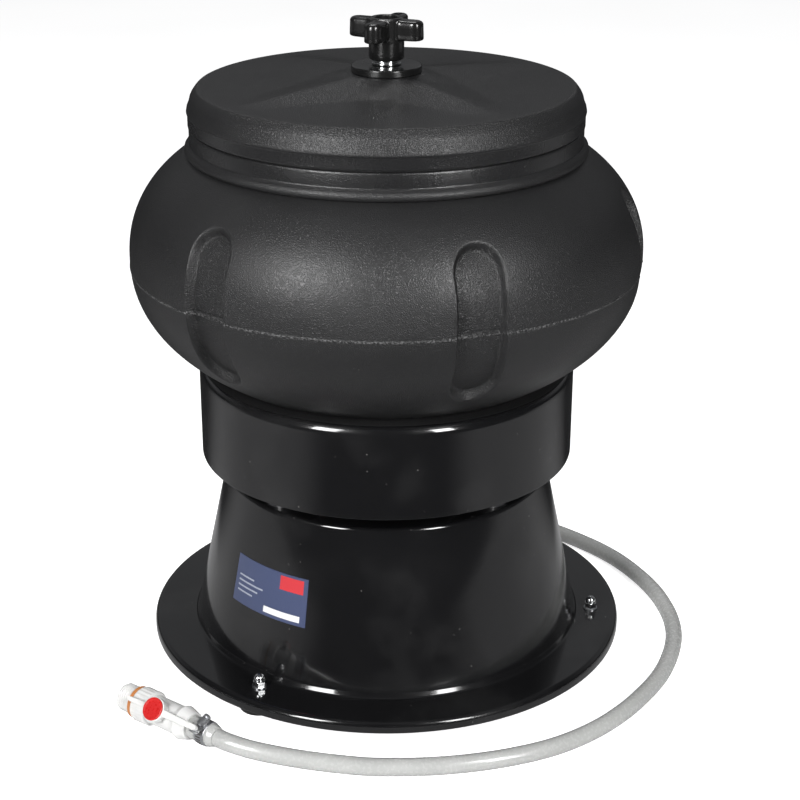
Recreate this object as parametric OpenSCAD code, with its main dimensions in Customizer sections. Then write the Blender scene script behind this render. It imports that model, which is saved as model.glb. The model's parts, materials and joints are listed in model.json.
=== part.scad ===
// Vibratory rock tumbler: a bowl on a sprung drum, shaken by an eccentric motor, over a cone base.
// Origin on the floor at the centre of the base; +Z up; +Y is the back, where hose and mains enter.

/* [Base] */
// Outside radius of the base flange at its rolled rim
flange_r = 172.9; // [160:0.1:200]
// Outside radius of the cone where it meets the flange
cone_foot_r = 141; // [125:0.5:150]
// Outside radius of the cone at its top shoulder
cone_top_r = 116.3; // [108:0.1:124]
// Height of the cone above the flange
cone_h = 116; // [90:1:150]
// Sheet steel thickness of base and drum
sheet_t = 2; // [1.2:0.1:3]
// Depth of the rolled rim below the flange's top
rim_drop = 8; // [5:0.5:10]
// Thickness of the bottom cover plate
cover_t = 1.5; // [1:0.1:3]
// Radius of the opening in the top plate
plate_hole_r = 84; // [76:1:85]

/* [Feet] */
// Height of a rubber foot
foot_h = 11.5; // [9:0.5:20]
// Radius of a rubber foot at the floor
foot_r = 14; // [11:0.5:16]
// Radius of the circle that the feet stand on
foot_circle_r = 153; // [150:0.5:156]
// Radius of a foot bolt's shank
foot_bolt_r = 2.5; // [2:0.25:3]
// Number of feet
foot_count = 3; // [3:1:4]

/* [Springs] */
// Length of a spring between its seats
spring_len = 73; // [60:1:90]
// Outside radius of a spring
spring_r = 11; // [9:0.5:11.5]
// Radius of the circle of springs
spring_circle_r = 99; // [98:0.5:100]
// Number of springs
spring_count = 4; // [3:1:6]

/* [Drum] */
// Outside radius of the drum
drum_r = 133; // [128:0.5:150]
// Height of the drum
drum_h = 66.4; // [55:0.1:75]
// Radius of the drum's rounded shoulder
drum_round = 7; // [3:0.5:9]

/* [Bowl] */
// Largest outside radius of the bowl
bowl_r = 177.5; // [160:0.5:215]
// Wall thickness of the bowl
bowl_wall = 9; // [8:0.5:10]
// Height of the widest ring above the bowl's underside
bowl_low_h = 80.6; // [66:0.1:98]
// Full depth of the lower curve
bowl_down = 109.9; // [102:0.1:135]
// Full height of the upper curve
bowl_up = 97.5; // [90:0.1:118]
// Outside radius of the neck's upright band
neck_r = 133.8; // [126:0.1:142]
// Height of the neck's upright band
neck_h = 10.3; // [8:0.1:16]
// Height of the bead under the neck band
bead_h = 8.1; // [4:0.1:10]
// Number of upright recesses around the bowl
slot_count = 6; // [3:1:8]
// Width of a recess
slot_w = 34; // [20:1:40]
// Reach of a recess above the widest ring
slot_high = 50; // [30:1:55]
// Reach of a recess below the widest ring
slot_low = 56.5; // [30:0.5:60]
// Depth of a recess
slot_depth = 6; // [2:0.5:6.5]

/* [Lid] */
// Outside radius of the lid's trimmed skirt
lid_r = 134.3; // [126:0.1:143]
// Height of the trimmed skirt
lid_skirt_h = 9; // [6:0.5:14]
// Height of the lid's wall above the skirt
lid_wall_h = 16; // [12:0.5:24]
// Thickness of the lid
lid_t = 5; // [3.5:0.5:6]
// Height of the star's hub above the lid's top
lid_hub_h = 8.5; // [5:0.5:14]
// Radius of the star's hub at its top
lid_hub_r = 25; // [20:0.5:32]
// Number of arms of the raised star
star_arms = 4; // [3:1:7]

/* [Clamp knob] */
// Radius of the centre stud
stud_r = 5; // [4:0.5:6]
// Radius of the knob's lobe tips
knob_r = 26.6; // [20:0.2:34]
// Radius of a lobe's round end
lobe_r = 6; // [4.5:0.5:8]
// Radius of the knob's hub
knob_hub_r = 11.9; // [10.5:0.1:15]
// Height of the knob
knob_h = 27.5; // [22:0.5:36]
// Height of the lobes
lobe_h = 13; // [9:0.5:16]
// Radius of the rubber washer under the knob
washer_r = 23.9; // [18:0.1:30]
// Thickness of the rubber washer
washer_t = 4.9; // [3:0.1:7]
// Thickness of the steel collar
collar_t = 4; // [3:0.5:6]

/* [Motor] */
// Outside radius of the motor's bells
motor_r = 52; // [46:0.5:54]
// Height of the stator stack
stack_h = 42; // [30:1:50]
// Radius of the rotor core
rotor_r = 29.5; // [24:0.5:33]
// Radius of the motor shaft
shaft_r = 6; // [5:0.25:8]
// Radius of the upper eccentric weight
upper_weight_r = 34; // [26:0.5:36]
// Radius of the lower eccentric weight
lower_weight_r = 42; // [30:0.5:52]

/* [Drain hose] */
// Outside radius of the hose
hose_r = 6; // [5:0.25:7]
// Radius of the valve's threaded end
valve_thread_r = 9.7; // [8:0.1:10.5]
// Radius of the valve's collar, on which it lies
valve_collar_r = 12.2; // [11:0.1:13]
// Radius of the valve's barrel
valve_barrel_r = 10; // [8.5:0.1:10.8]
// Length of the lever's long arm
lever_long = 38; // [25:0.5:40]
// Length of the lever's short arm
lever_short = 24; // [15:0.5:24.5]

/* [Hidden] */
$fn = 96;

eps = 0.01;          // overshoot of a cut past a face
joint_gap = 0.3;     // room between faces of two bodies that move apart
run_gap = 0.05;      // radial running clearance
screw_gap = 0.25;    // radial clearance of a screw in its hole

// Shape exponents of the bowl's two curves
up_a = 2.19;
up_b = 2.54;
low_a = 2.26;
low_b = 1.73;

// Heights, stacked from the floor up
flange_z = foot_h + cover_t + sheet_t;       // top of the flange
base_h = flange_z + cone_h;                  // top of the base's plate
seat_t = 3;                                  // floor of a spring seat
drum_top_z = base_h + 2 * seat_t + spring_len + sheet_t;
drum_low_z = drum_top_z - drum_h;
bowl_mid_z = drum_top_z + bowl_low_h;        // the bowl's widest ring
bead_r = neck_r + 3;                         // bead under the neck band
neck_z = curve_z(bead_r, bowl_r, bowl_up);   // where the upper curve meets the bead
band_z = neck_z + bead_h;                    // bottom of the neck band
rim_z = band_z + neck_h;                     // top of the bowl
lid_z = rim_z + 1;                           // bottom of the lid's skirt
lid_bead_z = lid_z + lid_skirt_h;
lid_top_z = lid_bead_z + lid_wall_h;
hub_z = lid_top_z + lid_hub_h;               // seat of the rubber washer
collar_z = hub_z + washer_t;
knob_z = collar_z + collar_t;
knob_top_z = knob_z + knob_h;

// Where things stand around the axis
foot_angle = -125;                           // first foot
spring_angle = 45;
slot_angle = -130.5;
star_angle = 36.9;
drain_angle = 100;                           // drain, inner hose and grommet
gland_angle = 132;
switch_angle = 66;
lobe_angle = 65;

curve_steps = 12;

function up_r(z, r, h) = r * pow(1 - pow((z - bowl_mid_z) / h, up_a), 1 / up_b);
function low_r(z, r, h) = r * pow(1 - pow((bowl_mid_z - z) / h, low_a), 1 / low_b);
function curve_z(rr, r, h) = bowl_mid_z + h * pow(1 - pow(rr / r, up_b), 1 / up_a);
function curve_points(inset, z0, z1) =
    let (r = bowl_r - inset, u = bowl_up - inset, d = bowl_down - inset)
    concat([for (i = [0:curve_steps]) let (z = z0 + (bowl_mid_z - z0) * i / curve_steps)
                [low_r(z, r, d), z]],
           [for (i = [1:curve_steps]) let (z = bowl_mid_z + (z1 - bowl_mid_z) * i / curve_steps)
                [up_r(z, r, u), z]]);

// Slope of the cone: radius and half angle
cone_lean = atan((cone_foot_r - cone_top_r) / cone_h);
function cone_r(z) = cone_foot_r - (z - flange_z) * tan(cone_lean);

module ring(r_out, r_in, z, h) {
    translate([0, 0, z]) difference() {
        cylinder(r = r_out, h = h);
        translate([0, 0, -eps]) cylinder(r = r_in, h = h + 2 * eps);
    }
}

// Children copied round the axis
module around(count, radius, first = 0) {
    for (i = [0:count - 1]) rotate([0, 0, first + i * 360 / count]) translate([radius, 0, 0]) children();
}

// Children placed on the cone's outside, their +Z along its outward normal and +Y up its slope
module on_cone(angle, z) {
    rotate([0, 0, angle]) translate([cone_r(z), 0, z])
        rotate([0, 90 - cone_lean, 0]) rotate([0, 0, 90]) children();
}

// Children laid along a level line out through the cone, their +Z pointing outwards
module level_out(angle, radius, z) {
    rotate([0, 0, angle]) translate([radius, 0, z]) rotate([0, 90, 0]) children();
}

/* ---- base ---- */
hose_exit_z = 30;        // height of the hose's exit
grommet_hole_r = 9;
gland_z = 38;
gland_hole_r = 8;
switch_z = 62;
switch_cut = [18, 26];   // cut-out for the switch, across and up the slope
shoulder_round = 3;      // rounding of the cone's top shoulder
foot_fillet = 3;         // fillet between flange and cone

module cone_solid(inset) {
    translate([0, 0, flange_z]) cylinder(r1 = cone_foot_r - inset, r2 = cone_top_r - inset, h = cone_h);
}

module base_housing() {
    color([0.03, 0.03, 0.035]) difference() {
        rotate_extrude() polygon([
            [cone_top_r - shoulder_round, base_h - sheet_t],
            [cone_top_r - shoulder_round, base_h],
            [cone_top_r - shoulder_round * 0.3, base_h - shoulder_round * 0.25],
            [cone_r(base_h - shoulder_round), base_h - shoulder_round],
            [cone_r(flange_z + foot_fillet), flange_z + foot_fillet],
            [cone_r(flange_z + foot_fillet) - sheet_t, flange_z + foot_fillet],
            [cone_top_r - sheet_t, base_h - sheet_t]]);
        level_out(drain_angle, cone_foot_r - 20, hose_exit_z) cylinder(r = grommet_hole_r, h = 40);
        on_cone(gland_angle, gland_z) translate([0, 0, -10]) cylinder(r = gland_hole_r + screw_gap, h = 20);
        on_cone(switch_angle, switch_z) translate([-switch_cut[0] / 2, -switch_cut[1] / 2, -10])
            cube([switch_cut[0], switch_cut[1], 20]);
    }
}
// The flat ring welded into the top of the cone; the lower spring seats stand on it
module base_deck() {
    color([0.03, 0.03, 0.035]) ring(cone_top_r - shoulder_round, plate_hole_r, base_h - sheet_t, sheet_t);
}
// The foot flange with its turned-down rim
module base_flange() {
    rim_r = flange_r - 3;
    color([0.03, 0.03, 0.035]) difference() {
        rotate_extrude() polygon([
            [cone_r(flange_z + foot_fillet), flange_z + foot_fillet],
            [cone_foot_r + foot_fillet * 0.25, flange_z + foot_fillet * 0.3],
            [cone_foot_r + foot_fillet, flange_z],
            [rim_r - 4, flange_z],
            [rim_r, flange_z - 0.5],
            [flange_r - 0.9, flange_z - 2],
            [flange_r, flange_z - 4.5],
            [flange_r, flange_z - rim_drop],
            [flange_r - sheet_t, flange_z - rim_drop],
            [flange_r - sheet_t, flange_z - sheet_t],
            [cone_foot_r, flange_z - sheet_t],
            [cone_r(flange_z + foot_fillet) - sheet_t, flange_z + foot_fillet]]);
        around(foot_count, foot_circle_r, foot_angle) translate([0, 0, flange_z - sheet_t - 1])
            cylinder(r = foot_bolt_r + screw_gap, h = sheet_t + 2, $fn = 32);
        level_out(drain_angle, cone_foot_r - 20, hose_exit_z) cylinder(r = grommet_hole_r, h = 40);
    }
}

vent_count = 12;
module bottom_cover() {
    color([0.16, 0.16, 0.17]) difference() {
        ring(flange_r - sheet_t - 1, 12, foot_h, cover_t);
        around(foot_count, foot_circle_r, foot_angle)
            translate([0, 0, foot_h - 1]) cylinder(r = foot_bolt_r + screw_gap, h = cover_t + 2, $fn = 32);
        // vent slots
        around(vent_count, 30, 15) translate([0, -2.5, foot_h - 1]) cube([32, 5, cover_t + 2]);
    }
}

bolt_head_r = foot_bolt_r * 1.7;
bolt_head_h = foot_bolt_r * 1.4;
foot_recess = 6;         // depth of the recess for a bolt's head
module rubber_feet() {
    color([0.06, 0.06, 0.06]) around(foot_count, foot_circle_r, foot_angle) difference() {
        cylinder(r1 = foot_r, r2 = foot_r - 1, h = foot_h, $fn = 64);
        translate([0, 0, -eps]) cylinder(r = bolt_head_r + 1, h = foot_recess, $fn = 48);
        cylinder(r = foot_bolt_r + screw_gap, h = foot_h + eps, $fn = 32);
    }
}

washer_h = 1;            // foot washer
nut_h = foot_bolt_r * 1.6;
module foot_bolts() {
    color([0.7, 0.71, 0.73]) around(foot_count, foot_circle_r, foot_angle) {
        translate([0, 0, foot_recess - bolt_head_h - eps])
            cylinder(r = bolt_head_r, h = bolt_head_h, $fn = 6);
        translate([0, 0, foot_recess - 1])
            cylinder(r = foot_bolt_r, h = flange_z + nut_h + 1 - foot_recess, $fn = 32);
    }
}

module foot_washers() {
    color([0.75, 0.76, 0.78]) around(foot_count, foot_circle_r, foot_angle)
        ring(foot_bolt_r * 2, foot_bolt_r + screw_gap, flange_z, washer_h);
}

module acorn_nuts() {
    nut_r = foot_bolt_r * 1.85;
    dome_r = foot_bolt_r * 1.5;
    color([0.8, 0.81, 0.83]) around(foot_count, foot_circle_r, foot_angle)
        translate([0, 0, flange_z + washer_h]) difference() {
            union() {
                cylinder(r = nut_r, h = nut_h, $fn = 6);
                cylinder(r = dome_r, h = nut_h + 1.2, $fn = 48);
                translate([0, 0, nut_h + 1.2]) sphere(r = dome_r, $fn = 48);
            }
            translate([0, 0, -eps]) cylinder(r = foot_bolt_r, h = nut_h + 0.5, $fn = 32);
        }
}

seat_wall = 2;
seat_lip = 6;            // height of a seat's cup wall above its floor
module spring_seat() {
    cylinder(r = spring_r + seat_wall + joint_gap, h = seat_t, $fn = 64);
    ring(spring_r + seat_wall + joint_gap, spring_r + joint_gap, seat_t - eps, seat_lip);
}
module lower_spring_seats() {
    color([0.2, 0.2, 0.21]) around(spring_count, spring_circle_r, spring_angle)
        translate([0, 0, base_h]) spring_seat();
}
module springs() {
    wire = 2.8;
    color([0.6, 0.61, 0.63]) around(spring_count, spring_circle_r, spring_angle)
        ring(spring_r, spring_r - wire, base_h + seat_t, spring_len);
}

// Thin plate laid on the cone's front left
label_angle = -130;
label_span = 30;         // degrees round the cone
label_low_z = 57.5;
label_high_z = 91;
label_t = 0.4;
module rating_label() {
    half = label_span / 2;
    reach = cone_foot_r * 2;
    color([0.08, 0.13, 0.35]) intersection() {
        difference() {
            cone_solid(-label_t);
            cone_solid(0);
        }
        rotate([0, 0, label_angle]) translate([0, 0, label_low_z]) linear_extrude(label_high_z - label_low_z)
            polygon([[0, 0], for (a = [-half, half]) reach * [cos(a), sin(a)]]);
    }
}

module cable_gland() {
    cord_r = 3.6;
    color([0.05, 0.05, 0.05]) on_cone(gland_angle, gland_z) difference() {
        union() {
            translate([0, 0, -9]) cylinder(r = gland_hole_r, h = 10, $fn = 64);
            cylinder(r = 12.5, h = 5, $fn = 6);
            translate([0, 0, 5]) cylinder(r = 10.5, h = 9, $fn = 64);
            translate([0, 0, 14]) cylinder(r1 = 10.5, r2 = 6.5, h = 5, $fn = 64);
        }
        translate([0, 0, -10]) cylinder(r = cord_r, h = 30, $fn = 48);
    }
}
module gland_nut() {
    color([0.05, 0.05, 0.05]) on_cone(gland_angle, gland_z) difference() {
        translate([0, 0, -8]) cylinder(r = 12, h = 5.2, $fn = 6);
        translate([0, 0, -9]) cylinder(r = gland_hole_r, h = 8, $fn = 64);
    }
}

// Rocker switch: bezel and body fixed in the cone, button turning on a pin across it
bezel = [22, 30, 2.5];
rocker = [12.6, 20.6];
rocker_pivot = 0;        // height of the pivot over the cone's surface
rocker_tilt = 8;         // the button's lean at rest
rocker_pin_r = 1.5;
rocker_gap = [0.5, 0.9]; // room round the button, across and up the slope
module switch_bezel() {
    color([0.04, 0.04, 0.04]) on_cone(switch_angle, switch_z) difference() {
        union() {
            translate([-bezel[0] / 2, -bezel[1] / 2, 0.4]) cube(bezel);
            translate([-switch_cut[0] / 2 + 0.3, -switch_cut[1] / 2 + 0.3, -20])
                cube([switch_cut[0] - 0.6, switch_cut[1] - 0.6, 20.4 + eps]);
        }
        translate([-rocker[0] / 2 - rocker_gap[0], -rocker[1] / 2 - rocker_gap[1], -9])
            cube([rocker[0] + 2 * rocker_gap[0], rocker[1] + 2 * rocker_gap[1], 20]);
        translate([0, 0, rocker_pivot]) rotate([0, 90, 0])
            cylinder(r = rocker_pin_r + run_gap, h = rocker[0] + 3.2, center = true, $fn = 32);
    }
}
module switch_rocker() {
    half = rocker[1] / 2;
    color([0.7, 0.06, 0.05]) on_cone(switch_angle, switch_z) translate([0, 0, rocker_pivot]) {
        rotate([rocker_tilt, 0, 0]) rotate([90, 0, 90]) translate([0, 0, -rocker[0] / 2])
            linear_extrude(rocker[0])
                polygon([[-half, 0.5], [-3.5, -5], [3.5, -5], [half, 0.5],
                         [half, 5.2], [0, 3.2], [-half, 5.2]]);
        rotate([0, 90, 0]) cylinder(r = rocker_pin_r, h = rocker[0] + 2.8, center = true, $fn = 32);
    }
}

// Rubber bush shaped to the cone where the hose leaves the base
grommet_lip_r = 12;
grommet_out = 8;         // how far its lip stands out of the cone
module hose_grommet() {
    color([0.05, 0.05, 0.05]) difference() {
        union() {
            difference() {
                level_out(drain_angle, cone_r(hose_exit_z) - 14, hose_exit_z)
                    cylinder(r = grommet_lip_r, h = 14 + grommet_out, $fn = 64);
                cone_solid(0);
            }
            level_out(drain_angle, cone_r(hose_exit_z) - 14, hose_exit_z)
                cylinder(r = grommet_hole_r, h = 14, $fn = 64);
        }
        level_out(drain_angle, cone_r(hose_exit_z) - 15, hose_exit_z)
            cylinder(r = hose_r + 0.2, h = 40, $fn = 64);
    }
}

cap_r = 17.5;            // run capacitor
cap_h = 62;
cap_place = [46, -80];
cover_top_z = foot_h + cover_t;
module capacitor() {
    color([0.75, 0.75, 0.73]) translate([cap_place[0], cap_place[1], cover_top_z]) {
        cylinder(r = cap_r, h = cap_h, $fn = 64);
        for (side = [-1, 1]) translate([side * 6 - 0.4, -3, cap_h - eps]) cube([0.8, 6, 8]);
    }
}
module capacitor_clip() {
    clip_t = 1.2;
    color([0.65, 0.66, 0.68]) translate([cap_place[0], cap_place[1], 0]) difference() {
        union() {
            ring(cap_r + clip_t, cap_r, cover_top_z + 22, 12);
            translate([cap_r + 0.3, -6, cover_top_z]) cube([clip_t, 12, 34]);
            translate([cap_r + 0.3, -6, cover_top_z]) cube([14, 12, clip_t]);
        }
        translate([cap_r + 9, 0, cover_top_z - 1]) cylinder(r = 2, h = 4, $fn = 32);
    }
}
module terminal_block() {
    color([0.85, 0.84, 0.8]) rotate([0, 0, 168]) translate([88, -22, cover_top_z]) difference() {
        cube([18, 44, 14]);
        for (i = [0:3]) translate([9, 5.5 + i * 11, 6]) cylinder(r = 2.6, h = 9, $fn = 32);
    }
}

/* ---- hoses: a tube swept along chosen points ---- */
// Route of the free hose's centre line, from the grommet to the valve's cuff
hose_lie = 6.1;          // height of the centre line on the floor
hose_route = [
    [-24.3, 138, 30], [-30, 168, 30], [-28, 189, 28], [-17, 209, 24], [1, 222, 19], [23, 227, 14],
    [45, 222, 9.5], [66, 206, 7], [87, 184, hose_lie], [108, 161, hose_lie], [129, 142, hose_lie],
    [149, 124, hose_lie], [168, 104, hose_lie], [184, 82, hose_lie], [197, 56, hose_lie],
    [206, 31, hose_lie], [211, 7, hose_lie], [213, -18, hose_lie], [211, -43, hose_lie],
    [204, -70, hose_lie], [193, -97, hose_lie], [178, -122, hose_lie], [160, -146, hose_lie],
    [138, -168, hose_lie], [112, -186, hose_lie], [84, -198, hose_lie], [54, -206, hose_lie],
    [24, -210, hose_lie], [-7, -210.5, hose_lie], [-37, -207, 6.8], [-64, -202, 8], [-88, -196.5, 10],
    [-104, -190.5, 11.8], [-111.6, -185.3, 12.2]];
// Route of the hose inside the base: distance from the axis and height
drain_r = 70;            // the drain's distance from the axis
drain_low_z = drum_top_z - sheet_t - 22;     // end of the drain's spout
inner_bend = 55;
inner_route = concat(
    [for (drop = [0, 33, 68]) [drain_r, drain_low_z - drop]],
    [for (a = [0:22.5:90]) [drain_r + inner_bend * (1 - cos(a)), hose_exit_z + inner_bend * (1 - sin(a))]],
    [[cone_r(hose_exit_z) - 3, hose_exit_z]]);

function unit(v) = v / norm(v);
function tangent(p, i) = unit(p[min(i + 1, len(p) - 1)] - p[max(i - 1, 0)]);
function swept_ring(p, i, r, n, side) =
    let (t = tangent(p, i), u = unit(cross(side, t)), w = cross(t, u))
    [for (k = [0:n - 1]) p[i] + r * (cos(k * 360 / n) * u + sin(k * 360 / n) * w)];
module swept_tube(p, r, n, side) {
    rings = len(p);
    points = [for (i = [0:rings - 1]) each swept_ring(p, i, r, n, side)];
    walls = [for (i = [0:rings - 2], k = [0:n - 1])
                let (a = i * n + k, b = i * n + (k + 1) % n) [a, b, b + n, a + n]];
    ends = [[for (k = [n - 1:-1:0]) k], [for (k = [0:n - 1]) (rings - 1) * n + k]];
    polyhedron(points, [for (f = concat(walls, ends)) [for (j = [len(f) - 1:-1:0]) f[j]]]);
}
module drain_hose() {
    color([0.86, 0.86, 0.84, 0.8]) swept_tube(hose_route, hose_r, 10, [0, 0, 1]);
}
module inner_hose() {
    c = cos(drain_angle);
    s = sin(drain_angle);
    color([0.86, 0.86, 0.84, 0.8])
        swept_tube([for (q = inner_route) [q[0] * c, q[0] * s, q[1]]], hose_r, 10, [s, -c, 0]);
}

/* ---- valve on the hose's free end; its own X runs from the clamp to the threaded end ---- */
valve_place = [-119.5, -179.2, valve_collar_r];
valve_heading = 142.4;
lever_rise = 40;         // lean of the lever's spindle over the floor
module at_valve() {
    translate(valve_place) rotate([lever_rise - 90, 0, valve_heading]) children();
}
module along(x, r1, r2, h) {
    translate([x, 0, 0]) rotate([0, 90, 0]) cylinder(r1 = r1, r2 = r2, h = h, $fn = 64);
}
cuff_r = 7.8;            // hose stretched over the barb
cuff_start = -10;
shoulder_x = 12;         // end of the valve's nozzle, where the cuff stops
barrel_x = 24;
collar_x = 47;
seal_x = 60;
thread_x = 63;
thread_end = 75;
undercut = 1.5;                              // plain neck between seal and thread
valve_neck_r = valve_thread_r - 0.7;
lever_x = 36.2;          // the spindle's place along the valve
lever_off = 14;          // height of the arms over the valve's axis
barb_r = 5.4;
spindle_r = 3.2;
ball_r = 6;
flow_r = 3.5;

module hose_cuff() {
    color([0.8, 0.8, 0.78]) at_valve() difference() {
        union() {
            along(cuff_start, hose_r, cuff_r, 4);
            along(cuff_start + 4, cuff_r, cuff_r, shoulder_x - cuff_start - 4);
        }
        along(cuff_start + 2, barb_r, barb_r, shoulder_x - cuff_start);
    }
}
clamp_w = 8.6;
clamp_t = 0.7;
clamp_out_r = cuff_r + clamp_t;
screw_lift = 2.6;        // height of the clamp's screw over its band
module hose_clamp() {
    color([0.72, 0.73, 0.75]) at_valve() difference() {
        along(-clamp_w / 2, clamp_out_r, clamp_out_r, clamp_w);
        along(-clamp_w, cuff_r, cuff_r, 2 * clamp_w);
    }
}
module clamp_screw() {
    color([0.75, 0.76, 0.78]) at_valve() rotate([35, 0, 0]) translate([0, 0, clamp_out_r + screw_lift]) {
        rotate([90, 0, 0]) cylinder(r = 2.4, h = 11, center = true, $fn = 48);
        translate([0, -6.4, 0]) rotate([90, 0, 0]) cylinder(r = 3.2, h = 3, center = true, $fn = 6);
        difference() {
            translate([-3.4, -3.5, -3]) cube([6.8, 7, 4]);
            translate([0, 0, -clamp_out_r - screw_lift])
                along(-clamp_w, clamp_out_r, clamp_out_r, 2 * clamp_w);
        }
    }
}
module valve_body() {
    color([0.95, 0.95, 0.94]) at_valve() difference() {
        union() {
            along(cuff_start + 2, barb_r, barb_r, shoulder_x - cuff_start - 2 + eps);
            along(shoulder_x, 9.4, 11.7, 8);
            along(shoulder_x + 8 - eps, 11.7, valve_barrel_r, barrel_x - shoulder_x - 8 + 2 * eps);
            along(barrel_x, valve_barrel_r, valve_barrel_r, collar_x - barrel_x + eps);
            along(collar_x, valve_collar_r, valve_collar_r, seal_x - collar_x);
            along(seal_x - eps, valve_neck_r, valve_neck_r, undercut + 2 * eps + thread_x - seal_x);
            along(thread_x + undercut, valve_thread_r, valve_thread_r, thread_end - thread_x - undercut);
            translate([lever_x, 0, 0]) cylinder(r = 7, h = lever_off - 2.5, $fn = 64);
        }
        along(cuff_start, flow_r, flow_r, thread_end - cuff_start + 2);
        translate([lever_x, 0, 0]) sphere(r = ball_r + run_gap, $fn = 64);
        translate([lever_x, 0, 0]) cylinder(r = spindle_r + run_gap, h = lever_off + 2, $fn = 48);
        along(thread_end - 10, 7.2, 7.2, 12);
    }
}
module valve_seal() {
    color([0.78, 0.45, 0.2]) at_valve() difference() {
        along(seal_x, valve_thread_r + 1.6, valve_thread_r + 1.6, thread_x - seal_x);
        along(seal_x - 1, valve_neck_r, valve_neck_r, thread_x - seal_x + 2);
    }
}
module valve_ball() {
    color([0.9, 0.9, 0.89]) at_valve() translate([lever_x, 0, 0]) difference() {
        union() {
            sphere(r = ball_r, $fn = 64);
            cylinder(r = spindle_r, h = lever_off - 2, $fn = 48);
        }
        translate([-10, 0, 0]) rotate([0, 90, 0]) cylinder(r = flow_r, h = 20, $fn = 48);
    }
}
lever_t = 3.2;
module valve_lever() {
    color([0.96, 0.96, 0.95]) at_valve() translate([lever_x, 0, lever_off - 2]) {
        cylinder(r = 8.4, h = lever_t + 0.8, $fn = 64);
        translate([-lever_long, -1.9, 0.6]) cube([lever_long - 6, 3.8, lever_t]);
        translate([6, -1.7, 0.6]) cube([lever_short - 6, 3.4, lever_t - 0.4]);
    }
}
module lever_cap() {
    color([0.75, 0.1, 0.08]) at_valve() translate([lever_x, 0, lever_off - 2 + lever_t + 0.8])
        cylinder(r = 7.8, h = 1.4, $fn = 64);
}

/* ---- sprung part: drum, motor and bowl ---- */
drain_shank_r = 8;
bracket_screw_circle = 47;
bracket_screw_r = 2.5;
module at_drain() {
    rotate([0, 0, drain_angle]) translate([drain_r, 0, 0]) children();
}
module drum() {
    color([0.03, 0.03, 0.035]) difference() {
        rotate_extrude() polygon(concat(
            [[0, drum_top_z - sheet_t], [0, drum_top_z]],
            [for (a = [90:-15:0])
                [drum_r - drum_round * (1 - cos(a)), drum_top_z - drum_round * (1 - sin(a))]],
            [[drum_r, drum_low_z + 1], [drum_r - 1, drum_low_z], [drum_r - sheet_t, drum_low_z],
             [drum_r - sheet_t, drum_top_z - drum_round]],
            [[drum_r - drum_round, drum_top_z - sheet_t]]));
        translate([0, 0, drum_top_z - 5]) cylinder(r = stud_r + screw_gap, h = 8, $fn = 48);
        at_drain() translate([0, 0, drum_top_z - 5]) cylinder(r = drain_shank_r + screw_gap, h = 8, $fn = 48);
        around(4, bracket_screw_circle, 0)
            translate([0, 0, drum_top_z - 5]) cylinder(r = bracket_screw_r + screw_gap, h = 8, $fn = 32);
    }
}
plate_z = drum_top_z - sheet_t;              // underside of the drum's plate
module upper_spring_seats() {
    color([0.2, 0.2, 0.21]) around(spring_count, spring_circle_r, spring_angle)
        translate([0, 0, plate_z]) mirror([0, 0, 1]) spring_seat();
}

// Motor, hung from the drum's plate
bracket_h = 40;                              // from the plate to the motor
stud_tail = 12;                              // the centre stud's length below the plate
shaft_top_z = plate_z - stud_tail - 4;
bracket_t = 4;
cage_r = 56;
cage_in = 38;
bell_top_z = plate_z - bracket_h;
bell_h = 18;
stack_top_z = bell_top_z - bell_h;
stack_low_z = stack_top_z - stack_h;
bell_low_z = stack_low_z - bell_h;
bearing_r = 13;
bearing_h = 7;
through_bolt_r = 2;
bolt_circle = motor_r - 5;
module motor_bracket() {
    color([0.25, 0.25, 0.26]) difference() {
        union() {
            ring(cage_r, cage_in, plate_z - bracket_t, bracket_t);
            ring(cage_r, cage_in, bell_top_z, bracket_t);
            around(4, cage_r - 4, 45) translate([-2, -9, bell_top_z]) cube([5, 18, bracket_h]);
        }
        around(4, bracket_screw_circle, 0) translate([0, 0, plate_z - bracket_t - 1])
            cylinder(r = bracket_screw_r + screw_gap, h = bracket_t + 2, $fn = 32);
        around(4, bolt_circle, 0) translate([0, 0, bell_top_z - 1])
            cylinder(r = through_bolt_r + screw_gap, h = bracket_t + 2, $fn = 32);
    }
}
module bracket_screws() {
    color([0.7, 0.71, 0.73]) around(4, bracket_screw_circle, 0) {
        translate([0, 0, plate_z - bracket_t - 4]) cylinder(r = bracket_screw_r * 1.8, h = 4, $fn = 6);
        translate([0, 0, plate_z - bracket_t - eps])
            cylinder(r = bracket_screw_r, h = bracket_t + sheet_t - 0.2, $fn = 32);
    }
}
module bell(z) {
    // cup with its open side up and a pocket for the bearing
    translate([0, 0, z]) difference() {
        cylinder(r = motor_r, h = bell_h);
        translate([0, 0, 3]) cylinder(r = motor_r - 8.5, h = bell_h);
        translate([0, 0, -eps]) cylinder(r = bearing_r - 3, h = 10);
        translate([0, 0, 1]) cylinder(r = bearing_r, h = 10);
        around(4, bolt_circle, 0) translate([0, 0, -1])
            cylinder(r = through_bolt_r + screw_gap, h = bell_h + 2, $fn = 32);
    }
    ring(bearing_r + 3, bearing_r, z + 1, bearing_h);
}
module motor_lower_bell() {
    color([0.62, 0.63, 0.65]) bell(bell_low_z);
}
module motor_upper_bell() {
    color([0.62, 0.63, 0.65]) translate([0, 0, 2 * bell_top_z - bell_h])
        mirror([0, 0, 1]) bell(bell_top_z - bell_h);
}
module stator() {
    color([0.35, 0.36, 0.38]) difference() {
        ring(motor_r - 1, rotor_r + 1, stack_low_z, stack_h);
        around(4, bolt_circle, 0) translate([0, 0, stack_low_z - 1])
            cylinder(r = through_bolt_r + screw_gap, h = stack_h + 2, $fn = 32);
    }
}
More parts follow.
